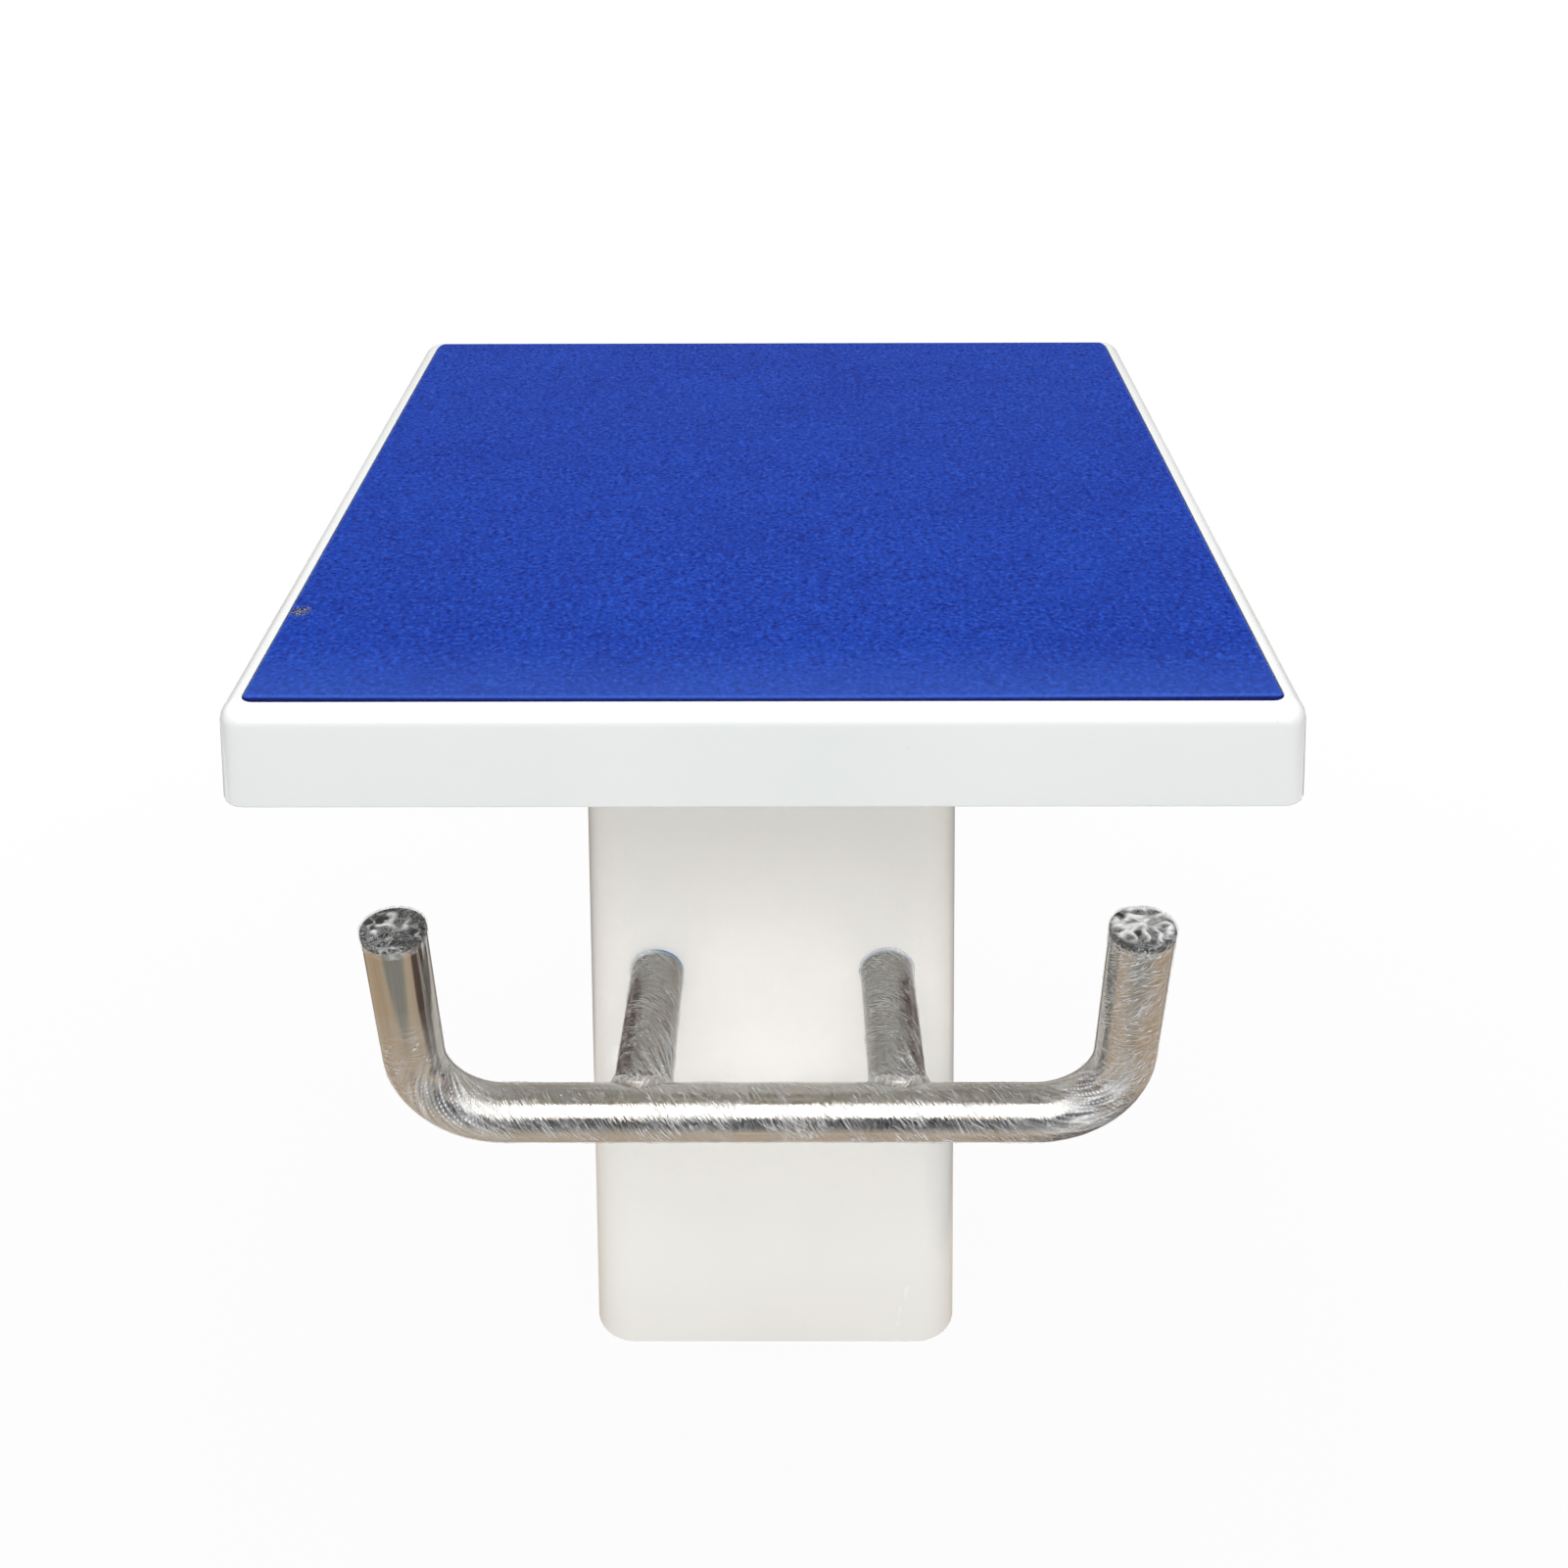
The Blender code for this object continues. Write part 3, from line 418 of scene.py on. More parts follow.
def seated_fasteners(kind, shape, lift, seed):
    """One copy of a fastener at each node's place along the deck's own upright, freely turned."""
    name = kind + "s"
    nodes = [f"{kind}_{number}" for number in range(1, SCREW_COUNT + 1)]
    seat_mesh = bpy.data.meshes.new(name)
    seat_mesh.from_pydata([box_middle(node) + deck_up * lift for node in nodes], [], [])
    single = new_object(name + "_single", shape)
    growth = Growth(name, {"Slope": DECK_SLOPE, "Seed": seed})
    info = growth.add("GeometryNodeObjectInfo", {"Object": single}, transform_space="ORIGINAL")
    tilt = growth.add("ShaderNodeCombineXYZ", {"X": growth.given["Slope"]})
    copies = growth.add("GeometryNodeInstanceOnPoints", {
        "Points": growth.given["Geometry"], "Instance": info.outputs["Geometry"],
        "Rotation": tilt.outputs[0]})
    spin = growth.add("FunctionNodeRandomValue", {"Seed": growth.given["Seed"], "Max": 2 * math.pi},
                      data_type="FLOAT")
    about = growth.add("ShaderNodeCombineXYZ", {"Z": spin.outputs[1]})
    spun = growth.add("GeometryNodeRotateInstances", {
        "Instances": copies.outputs[0], "Rotation": about.outputs[0], "Local Space": True})
    mesh = growth.grow(name, seat_mesh, spun.outputs[0], fixing)
    bpy.data.objects.remove(single, do_unlink=True)
    shade(mesh, FASTENER_EDGE)
    add_piece(name, mesh, fixing, "stainless_fixings", *nodes)


seated_fasteners("flange_screw", hexagon_head_mesh(), (HEAD_HEIGHT - SCREW_LENGTH) / 2, seed=3)
seated_fasteners("flange_washer", washer_mesh(), -WASHER_THICKNESS / 2, seed=5)


# The non-slip pad is a soft blue sheet with a moulded pebble grain, set into the recess with glue.
# Its edge rolls down all round, with a painted highlight on the roll and a painted shadow at its foot.
# Its front edge bows forward a little.

PAD_THICKNESS = 0.004
PAD_ROLL = 0.0026
PAD_CORNER = 0.006
PAD_FRONT_CORNER = 0.0028
PAD_BOW = 0.0011
PAD_CELLS = 300
PAD_EDGE = math.radians(60)
SHEEN_BAND = 0.05
SCUFF_BACK = 0.083
SCUFF_IN = 0.0065
SCUFF_RADIUS = 0.0065
PEBBLE_PITCH = 0.0033
PEBBLE_HEIGHT = 0.00034
PEBBLE_WARP = 0.0012
PLAIN_EDGE = 0.0012

pad_low, pad_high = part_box("nonslip_pad")
pad_middle = (pad_low + pad_high) / 2
pad_width = pad_high.x - pad_low.x
pad_depth = (pad_high.y - pad_low.y - PAD_THICKNESS * math.sin(DECK_SLOPE)) / math.cos(DECK_SLOPE)
pad_top = PAD_THICKNESS / 2 - PEBBLE_HEIGHT / 2


def edge_steps(reach):
    """Grid lines along one side of the pad: fine over the rolled edge and even between."""
    fine = np.array([0.0, 0.03, 0.12, 0.27, 0.48, 0.74, 1.0]) * PAD_ROLL
    inner = np.linspace(-reach + PAD_ROLL, reach - PAD_ROLL, PAD_CELLS - 2 * (len(fine) - 1))[1:-1]
    return np.concatenate([-reach + fine, inner, reach - fine[::-1]])


def carry(mesh, name, kind, field, values):
    """Store a value at each of a mesh's points."""
    layer = mesh.attributes.new(name, kind, "POINT")
    layer.data.foreach_set(field, np.array(values, np.float32).ravel())


def pad_mesh():
    """The sheet as one closed skin: a grid on top, rolled over its edge, and a plain underside."""
    across, along = edge_steps(pad_width / 2), edge_steps(pad_depth / 2)
    x, y = (values.ravel() for values in np.meshgrid(across, along))
    distance = np.minimum(pad_width / 2 - np.abs(x), pad_depth / 2 - np.abs(y))
    rounding = np.where(y < 0, PAD_FRONT_CORNER, PAD_CORNER)
    beyond_x = np.abs(x) - (pad_width / 2 - rounding)
    beyond_y = np.abs(y) - (pad_depth / 2 - rounding)
    corner = (beyond_x > 0) & (beyond_y > 0)
    longest = np.maximum(beyond_x, beyond_y)
    shrink = np.where(corner, longest / np.maximum(np.hypot(beyond_x, beyond_y), MERGE_DISTANCE), 1.0)
    x = np.where(corner, np.sign(x) * (pad_width / 2 - rounding + beyond_x * shrink), x)
    y = np.where(corner, np.sign(y) * (pad_depth / 2 - rounding + beyond_y * shrink), y)
    inset = np.clip(PAD_ROLL - distance, 0.0, PAD_ROLL)
    drop = PAD_ROLL - np.sqrt(np.maximum(PAD_ROLL ** 2 - inset ** 2, 0.0))
    bow = PAD_BOW * (2 * x / pad_width) ** 2 * np.clip(-y / (pad_depth / 2), 0.0, 1.0) ** 6
    y = np.where(y < 0, y + bow, y)
    columns, rows = len(across), len(along)
    index = np.arange(rows * columns).reshape(rows, columns)
    quads = np.stack([index[:-1, :-1], index[:-1, 1:], index[1:, 1:], index[1:, :-1]], -1).reshape(-1, 4)
    rim = np.concatenate([index[0, :-1], index[:-1, -1], index[-1, :0:-1], index[:0:-1, 0]])
    top = np.stack([x, y, pad_top - drop], -1)
    base = top[rim] * (1, 1, 0) + (0, 0, -PAD_THICKNESS / 2)
    below = np.arange(len(rim)) + len(top)
    walls = np.stack([rim, below, np.roll(below, -1), np.roll(rim, -1)], -1).tolist()
    points = np.concatenate([top, base])
    axes = np.array([(1.0, 0.0, 0.0), tuple(deck_back), tuple(deck_up)])
    mesh = bpy.data.meshes.new("pad_sheet")
    mesh.from_pydata((points @ axes + np.array(pad_middle)).tolist(), [],
                     quads.tolist() + walls + [below[::-1].tolist()])
    grained = np.clip((distance - PLAIN_EDGE) / PAD_ROLL, 0.0, 1.0)
    rolled = np.clip(1.0 - distance / PAD_ROLL, 0.0, 1.0)
    carry(mesh, "grained", "FLOAT", "value", np.concatenate([grained, np.zeros(len(base))]))
    carry(mesh, "rolled", "FLOAT", "value", np.concatenate([rolled, np.ones(len(base))]))
    mesh.update()
    return mesh


pad = Finish("pad_blue_grained")
wobble = pad.add("ShaderNodeTexNoise", {"Vector": pad.place, "Scale": 260.0, "Detail": 1.0}).outputs["Color"]
warped = pad.add("ShaderNodeVectorMath", {0: wobble, 1: [PEBBLE_WARP] * 3, 2: pad.place},
                 operation="MULTIPLY_ADD").outputs[0]
pebble = pad.cells(1 / PEBBLE_PITCH, warped)
pore = pad.band(pebble, 0.5, 0.8)
fine = pad.cells(1 / (0.45 * PEBBLE_PITCH))
mottle = pad.band(pad.cloud(16.0, 4.0), 0.32, 0.7)
streak = pad.band(pad.cloud(5.0, 2.0, pad.stretched((0.5, 1.6, 1.0))), 0.42, 0.7)
grit = pad.cloud(430.0, 1.0)
blue = pad.blend(mottle, (0.0025, 0.023, 0.225), (0.004, 0.032, 0.27))
blue = pad.blend(streak, blue, (0.0035, 0.030, 0.255))
blue = pad.blend(pad.band(grit, 0.46, 0.30), blue, (0.0015, 0.010, 0.13))
blue = pad.blend(pad.band(grit, 0.54, 0.72, 0.0, 0.6), blue, (0.018, 0.074, 0.43))
# Lighter towards the front edge: a painted sheen.
painted_front_sheen = pad.band(pad.axis(pad.place, "Y"), pad_low.y, pad_low.y + SHEEN_BAND, 0.40, 0.0)
blue = pad.blend(painted_front_sheen, blue, (0.030, 0.075, 0.33))
rolled = pad.carried("rolled")
# The top of the rolled edge is coloured lighter: a painted highlight.
blue = pad.blend(pad.band(rolled, 0.0, 0.30, 0.0, 0.35), blue, (0.030, 0.095, 0.45))
# Its foot is coloured nearly black: a painted shadow along the edge.
painted_edge_shadow = pad.blend(pad.band(rolled, 0.55, 0.80), blue, (0.002, 0.006, 0.085))
scuff_place = pad_middle + Vector((SCUFF_IN - pad_width / 2, 0.0, 0.0))
scuff_place += deck_back * (SCUFF_BACK - pad_depth / 2)
from_scuff = pad.add("ShaderNodeVectorMath", {0: pad.place, 1: scuff_place}, operation="DISTANCE")
near_scuff = pad.band(from_scuff.outputs["Value"], 0.5 * SCUFF_RADIUS, SCUFF_RADIUS, 1.0, 0.0)
scraped = pad.cloud(900.0, 2.0)
scuffed = pad.times(near_scuff, pad.band(scraped, 0.38, 0.46))
bared = pad.blend(pad.band(scraped, 0.52, 0.60), (0.010, 0.012, 0.035), (0.30, 0.30, 0.30))
pad.surface(
    Base_Color=pad.blend(scuffed, painted_edge_shadow, bared),
    Roughness=pad.band(pore, 0.0, 1.0, 0.52, 0.70),
    Normal=pad.relief(pad.reckon("ADD", pebble, fine), -0.0006, 0.45),
    Specular_IOR_Level=0.09)

grain = Growth("pad_grain", {"Pebble Pitch": PEBBLE_PITCH, "Pebble Height": PEBBLE_HEIGHT})
where = grain.add("GeometryNodeInputPosition").outputs[0]
density = grain.reckon("DIVIDE", 1.0, grain.given["Pebble Pitch"])
pebbles = grain.add("ShaderNodeTexVoronoi", {"Vector": where, "Scale": density}, feature="SMOOTH_F1")
raised = grain.band(pebbles.outputs["Distance"], 0.75, 0.15)
grained = grain.add("GeometryNodeInputNamedAttribute", {"Name": "grained"}).outputs[0]
height = grain.times(grain.times(raised, grained), grain.given["Pebble Height"])
push = grain.add("ShaderNodeVectorMath", {0: deck_up, "Scale": height}, operation="SCALE").outputs[0]
moved = grain.add("GeometryNodeSetPosition", {"Geometry": grain.given["Geometry"], "Offset": push})
pad_skin = grain.grow("pad_sheet", pad_mesh(), moved.outputs[0], pad)
shade(pad_skin, PAD_EDGE)
add_piece("pad_sheet", pad_skin, pad, "pad_blue", "nonslip_pad")


# A blue rubber ring seals each support tube against the pedestal's wall.
# It is punched from sheet and squeezed by the stud, so its edge shines a little.

rubber = Finish("seal_rubber_blue")
grit = rubber.cloud(500.0, 2.0)
rubber.surface(
    Base_Color=rubber.blend(grit, (0.02, 0.17, 0.36), (0.04, 0.26, 0.50)),
    Roughness=rubber.band(grit, 0.3, 0.7, 0.4, 0.6),
    Normal=rubber.relief(grit, 0.0001, 0.5))
smooth_pair("arm_seal", "rubber", rubber, edge=0.0003)


# The handle is one stainless tube, bent at both ends into upright horns that lean over the water.
# It is polished round its girth, and handling has left faint lengthways rubs and tan heat tints.

TUBE_RADIUS = 0.0185
TUBE_WALL = 0.002
TUBE_SIDES = 64
TUBE_END_RING = 0.0004
STEEL_RING_SPACING = 0.004
HANDLE_HALF_WIDTH = 0.218
BEND_RADIUS = 0.050
BEND_ANGLE = math.radians(91.5)
HORN_HEIGHT = 0.144
HORN_LEAN = math.radians(3.0)
FILM_LEFT_END = 0.046
FILM_TEAR = 0.006
TEAR_FADE = 0.010
LEFT_HORN_CLING = 0.10
RIGHT_HORN_CLING = 0.38
PULL_TURNS = -88.0

bar_low, bar_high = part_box("handle_bar")
bar_middle = Vector((0.0, bar_high.y - TUBE_RADIUS, bar_low.z + TUBE_RADIUS))
handle_up = Vector((0.0, -math.sin(HORN_LEAN), math.cos(HORN_LEAN)))
handle_out = Vector((0.0, -math.cos(HORN_LEAN), -math.sin(HORN_LEAN)))
bend_start = HANDLE_HALF_WIDTH - BEND_RADIUS * math.tan(BEND_ANGLE / 2)
bend_end = bend_start + BEND_RADIUS * BEND_ANGLE
half_length = bend_end + (HORN_HEIGHT - BEND_RADIUS * (1 - math.cos(BEND_ANGLE))) / math.sin(BEND_ANGLE)
film_start = -half_length + FILM_LEFT_END


def clamped(value):
    return min(max(value, 0.0), 1.0)


def round_noise(turn, fineness, height):
    """Smooth noise that meets itself once round a tube."""
    return noise.noise(Vector((math.cos(turn) * fineness, math.sin(turn) * fineness, height)))


def round_place(centre, across, out, reach, turn):
    return centre + across * (reach * math.cos(turn)) + out * (reach * math.sin(turn))


def handle_centre(distance):
    """Place on the tube's centre line and two directions square to it, at a distance from the middle."""
    side = math.copysign(1.0, distance)
    run = abs(distance)
    turn = min(max(run - bend_start, 0.0) / BEND_RADIUS, BEND_ANGLE)
    rest = max(run - bend_end, 0.0)
    x = min(run, bend_start) + BEND_RADIUS * math.sin(turn) + rest * math.cos(BEND_ANGLE)
    rise = BEND_RADIUS * (1 - math.cos(turn)) + rest * math.sin(BEND_ANGLE)
    centre = bar_middle + Vector((side * x, 0.0, 0.0)) + handle_up * rise
    across = Vector((-side * math.sin(turn), 0.0, 0.0)) + handle_up * math.cos(turn)
    return centre, across, handle_out


def ring_faces(rings, sides, first=0, closed=False):
    """Faces between rings of points that follow one another, and back to the first if closed."""
    faces = []
    for ring in range(rings if closed else rings - 1):
        here = first + ring * sides
        there = first + (ring + 1) % rings * sides
        for step in range(sides):
            follow = (step + 1) % sides
            faces.append((here + step, there + step, there + follow, here + follow))
    return faces


def film_mesh(name, points, faces, wraps, creases):
    """A smooth skin facing outwards that carries its straightened places and how creased it is."""
    mesh = bpy.data.meshes.new(name)
    mesh.from_pydata(points, [], faces)
    carry(mesh, "wrap", "FLOAT_VECTOR", "vector", wraps)
    carry(mesh, "crease", "FLOAT", "value", creases)
    bm = bmesh.new()
    bm.from_mesh(mesh)
    write_out(bm, mesh).shade_smooth()
    return mesh


def skin_mesh(name, stations, sides, route, swell):
    """A tube's skin. Each vertex keeps its place on the straightened tube, for patterns and rubs."""
    points, wraps, creases = [], [], []
    for station in stations:
        for step in range(sides):
            turn = 2 * math.pi * step / sides
            rise, crease, distance = swell(station, turn)
            points.append(round_place(*route(distance), TUBE_RADIUS + rise, turn))
            wraps.append((TUBE_RADIUS * math.cos(turn), TUBE_RADIUS * math.sin(turn), distance))
            creases.append(crease)
    return film_mesh(name, points, ring_faces(len(stations), sides), wraps, creases)


def give_wall(piece, thickness):
    wall = piece.modifiers.new("wall", "SOLIDIFY")
    wall.thickness = thickness
    wall.offset = -1.0


def helix_lines(finish, wrap, turns, fineness, run):
    """Crisp lines that climb round a straightened tube; turns sets how steeply, run how long."""
    angle = finish.times(finish.axis(wrap, "Z"), turns)
    spun = finish.add("ShaderNodeVectorRotate", {"Vector": wrap, "Angle": angle}, rotation_type="Z_AXIS")
    lines = finish.cloud(1.0, 2.0, finish.stretched((fineness, fineness, run), spun.outputs[0]))
    return finish.reckon("ABSOLUTE", finish.reckon("SUBTRACT", lines, 0.5))


tube = Finish("polished_tube_steel")
wrap = tube.carried("wrap", "Vector")
rubs = tube.cloud(1.0, 4.0, tube.stretched((420.0, 420.0, 9.0), wrap))
polish = tube.cloud(1.0, 3.0, tube.stretched((25.0, 25.0, 900.0), wrap))
tan = tube.band(tube.cloud(1.0, 2.0, tube.stretched((70.0, 70.0, 12.0), wrap)), 0.5, 0.75)
grey = tube.blend(rubs, (0.44, 0.43, 0.40), (0.62, 0.60, 0.57))
ripples = tube.reckon("ADD", helix_lines(tube, wrap, PULL_TURNS, 330.0, 50.0),
                      helix_lines(tube, wrap, -60.0, 150.0, 28.0))
slack = tube.band(tube.cloud(1.0, 1.0, tube.stretched((34.0, 34.0, 26.0), wrap)), 0.40, 0.60, 0.30, 1.15)
ripples = tube.times(tube.times(ripples, tube.carried("crease")), slack)
tube.surface(
    Base_Color=tube.blend(tube.times(tan, 0.5), grey, (0.46, 0.37, 0.30)),
    Roughness=tube.band(rubs, 0.3, 0.7, 0.07, 0.16),
    Normal=tube.relief(ripples, 0.0012, 0.6, tube.relief(polish, 0.00003, 0.4)),
    Metallic=1.0)


def torn_edge(turn):
    """How far the film's torn end strays along the tube."""
    return FILM_TEAR * round_noise(turn, 2.0, 8.0)


def steel_skin(station, turn):
    """No rise, and how much the film over it ripples: all of it on the bar and less up the horns."""
    filmed = clamped((station - film_start - torn_edge(turn)) / TEAR_FADE)
    up_the_horn = clamped((abs(station) - bend_start) / (bend_end - bend_start))
    cling = LEFT_HORN_CLING if station < 0 else RIGHT_HORN_CLING
    return 0.0, filmed * (1.0 + (cling - 1.0) * up_the_horn), station


inner_reach = half_length - TUBE_END_RING
inner_rings = np.linspace(-inner_reach, inner_reach, round(2 * half_length / STEEL_RING_SPACING))
rings = np.concatenate([[-half_length], inner_rings, [half_length]])
handle_skin = skin_mesh("handle_tube", rings, TUBE_SIDES, handle_centre, steel_skin)
give_wall(add_piece("handle_tube", handle_skin, tube, "stainless_tube", "handle_bar"), TUBE_WALL)


# Two short tubes carry the handle from the pedestal. Each is saddle cut to the bar and welded.
# They are the same polished stainless as the bar, with their closed ends against the seals.

# Coloured much darker than the bar's steel, which is the same stainless: painted shade for the darker
# surroundings mirrored in the arms.
arm = Finish("polished_arm_steel")
rubs = arm.cloud(1.0, 4.0, arm.stretched((300.0, 14.0, 300.0)))
tan = arm.band(arm.cloud(1.0, 2.0, arm.stretched((60.0, 14.0, 60.0))), 0.45, 0.7)
grey = arm.blend(rubs, (0.21, 0.202, 0.185), (0.35, 0.342, 0.322))
waves = arm.cloud(1.0, 2.0, arm.stretched((200.0, 70.0, 200.0), turn=(0.5, 0.0, 0.5)))
arm.surface(
    Base_Color=arm.blend(arm.times(tan, 0.6), grey, (0.27, 0.21, 0.16)),
    Roughness=arm.band(rubs, 0.3, 0.7, 0.10, 0.22),
    Normal=arm.relief(waves, 0.0010, 0.4),
    Metallic=1.0)
smooth_pair("support_arm", "tube", arm)


# A weld bead runs round each saddle, where a support tube meets the bar.
# It was laid by hand in short pulses, so it is a chain of overlapping ripples with a straw tint.

BEAD_RADIUS = 0.0030
BEAD_RIPPLE = 0.00022
BEAD_STEP = 0.0005
BEAD_SIDES = 14
RIPPLE_PITCH = 0.0019
SADDLE_STEPS = 96
SADDLE_SHARE = 0.93
WALL_SETBACK = 0.012
WALL_HEIGHT = 0.7245

wall_lean = math.atan2(WALL_SETBACK, WALL_HEIGHT)
arm_inward = Vector((0.0, math.cos(wall_lean), -math.sin(wall_lean)))
arm_upward = Vector((0.0, math.sin(wall_lean), math.cos(wall_lean)))


def on_bar(node):
    """The place on the bar's centre line that faces a node."""
    return Vector((box_middle(node).x, bar_middle.y, bar_middle.z))


def saddle_place(middle, turn):
    """A point of the corner between the two tubes, at one turn round the support tube."""
    rise = SADDLE_SHARE * TUBE_RADIUS * math.sin(turn)
    depth = math.sqrt(TUBE_RADIUS ** 2 - rise ** 2)
    sideways = Vector((TUBE_RADIUS * math.cos(turn), 0.0, 0.0))
    return middle + sideways + arm_upward * (TUBE_RADIUS * math.sin(turn)) + arm_inward * depth


weld = Finish("weld_steel")
heat = weld.cloud(160.0, 2.0)
weld.surface(
    Base_Color=weld.blend(weld.band(heat, 0.4, 0.65), (0.52, 0.49, 0.44), (0.46, 0.34, 0.22)),
    Roughness=weld.band(heat, 0.3, 0.7, 0.25, 0.45),
    Normal=weld.relief(weld.cloud(700.0, 1.0), 0.0001, 0.5),
    Metallic=1.0)

for side in ("left", "right"):
    name = "weld_ripples_" + side
    joint = on_bar("weld_bead_" + side)
    loop = bpy.data.meshes.new("saddle_line")
    loop.from_pydata([saddle_place(joint, 2 * math.pi * step / SADDLE_STEPS) for step in range(SADDLE_STEPS)],
                     [(step, (step + 1) % SADDLE_STEPS) for step in range(SADDLE_STEPS)], [])
    bead = Growth("weld_bead_" + side, {
        "Bead Radius": BEAD_RADIUS, "Ripple Depth": BEAD_RIPPLE, "Ripple Pitch": RIPPLE_PITCH})
    line = bead.add("GeometryNodeMeshToCurve", {"Mesh": bead.given["Geometry"]}).outputs[0]
    fine_line = bead.add("GeometryNodeResampleCurve", {"Curve": line, "Length": BEAD_STEP}, mode="LENGTH")
    run_along = bead.add("GeometryNodeSplineParameter").outputs["Length"]
    phase = bead.reckon("FRACT", bead.reckon("DIVIDE", run_along, bead.given["Ripple Pitch"]))
    dip = bead.times(phase, bead.given["Ripple Depth"])
    width = bead.reckon("SUBTRACT", bead.given["Bead Radius"], dip)
    profile = bead.add("GeometryNodeCurvePrimitiveCircle", {"Resolution": BEAD_SIDES, "Radius": 1.0})
    swept = bead.add("GeometryNodeCurveToMesh", {
        "Curve": fine_line.outputs[0], "Profile Curve": profile.outputs[0], "Scale": width,
        "Fill Caps": True})
    bead_mesh = bead.grow(name, loop, swept.outputs[0], weld)
    bead_mesh.shade_smooth()
    add_piece(name, bead_mesh, weld, "stainless_tube", "weld_bead_" + side)


# A black plastic plug closes the top of each horn. It is injection moulded with a satin skin.
# Its ribbed stem is out of sight inside the tube.

plug = Finish("plug_plastic_black")
satin = plug.cloud(600.0, 2.0)
scuffs = plug.band(plug.cloud(1.0, 3.0, plug.stretched((90.0, 400.0, 90.0))), 0.6, 0.7)
plug.surface(
    Base_Color=plug.blend(plug.times(scuffs, 0.5), (0.012, 0.012, 0.014), (0.06, 0.06, 0.062)),
    Roughness=plug.band(satin, 0.3, 0.7, 0.25, 0.42),
    Normal=plug.relief(satin, 0.00006, 0.5))
smooth_pair("horn_plug", "plastic", plug, edge=0.0003)


# Clear stretch film is wound round the handle to protect it, as it leaves the factory.
# It clings in a helix with overlapping turns, and creases where it was pulled, bent and bunched.

FILM_THICKNESS = 0.0002
FILM_STAND_OFF = 0.0004
FILM_CREASE = 0.0006
FILM_SIDES = 100
FILM_RING_SPACING = 0.0016
FILM_FADE = 0.035
WIND_PITCH = 0.055
OVERLAP_STEP = 0.0002
TEAR_REACH = 0.02
BEND_REACH = 0.06
BEND_SLACK = 0.0009
ARM_REACH = 0.150
ARM_FILM_RINGS = 74
BUNCH_START = 0.86
FAN_START = 0.50
BUNCH_RISE = 0.0022
FOLD_RISE = 0.0010
BINDING_RISE = 0.0010
BINDING_SHARE = 0.035
FILM_TOP_GAP = 0.001
CREASE_SHARPNESS = 3.2

# Creases: radians round the tube for each metre along it, fineness round it and fineness along it.
PULLED = (PULL_TURNS, 4.6, 90.0)
CROSSED = (46.0, 3.0, 50.0)
STREAKED = (-20.0, 8.0, 26.0)
FOLDED = (-24.0, 7.0, 30.0)

film = Finish("stretch_film")
wrap = film.carried("wrap", "Vector")
film_run = film.axis(wrap, "Z")
on_left = film.band(film_run, -bend_start, -bend_end)
on_right = film.band(film_run, bend_start, bend_end)
patchy = film.band(film.cloud(1.0, 2.0, film.stretched((60.0, 60.0, 38.0), wrap)), 0.36, 0.58)
strokes = film.band(helix_lines(film, wrap, PULL_TURNS, 400.0, 55.0), 0.032, 0.0)
hairs = film.band(helix_lines(film, wrap, -30.0, 300.0, 30.0), 0.016, 0.0)
wisps = film.band(helix_lines(film, wrap, 14.0, 60.0, 330.0), 0.034, 0.0)
strokes = film.times(film.most(strokes, hairs), patchy)
strokes = film.times(strokes, film.band(on_left, 0.0, 1.0, 0.58, 0.16))
wisps = film.times(wisps, film.band(patchy, 0.0, 1.0, 0.7, 0.10))
wisps = film.times(wisps, film.band(film.reckon("ADD", on_left, on_right), 0.0, 1.0, 0.20, 0.75))
# White and opaque where creased: part the whitening of folded film, part a painted highlight.
whitening_and_highlights = film.most(film.most(strokes, wisps), film.carried("crease"))
whitening_and_highlights = film.times(whitening_and_highlights, film.band(film_run, film_start, film_start + FILM_FADE))
film.surface(
    Base_Color=film.blend(whitening_and_highlights, (0.80, 0.81, 0.82), (0.94, 0.95, 0.96)),
    Roughness=film.band(film.cloud(90.0), 0.3, 0.7, 0.10, 0.24),
    Alpha=film.band(whitening_and_highlights, 0.0, 1.0, 0.01, 0.85),
    Normal=film.relief(whitening_and_highlights, 0.0006, 0.6),
    IOR=1.5)


def add_film(name, mesh, slot="stainless_tube"):
    give_wall(add_piece(name, mesh, film, slot), FILM_THICKNESS)


def crease_height(turn, distance, seed, turns, fineness, run):
    """Sharp ridge from 0 to 1 that climbs round the tube in a helix."""
    ridge = round_noise(turn + turns * distance, fineness, distance * run + seed)
    return max(0.0, 1.0 - CREASE_SHARPNESS * abs(ridge)) ** 2


def film_height(turn, distance, seed):
    """How far the film stands off the steel, and how creased it is there."""
    pulled = crease_height(turn, distance, seed, *PULLED)
    crossed = crease_height(turn, distance, seed + 17.0, *CROSSED)
    share = clamped(0.25 + 1.6 * round_noise(turn, 1.3, distance * 34.0 + seed + 40.0))
    crease = share * max(pulled, 0.6 * crossed)
    phase = (distance / WIND_PITCH + turn / (2 * math.pi)) % 1.0
    overlap = OVERLAP_STEP * (1.0 - phase)
    return FILM_STAND_OFF + overlap + FILM_CREASE * crease, 0.22 * crease ** 2


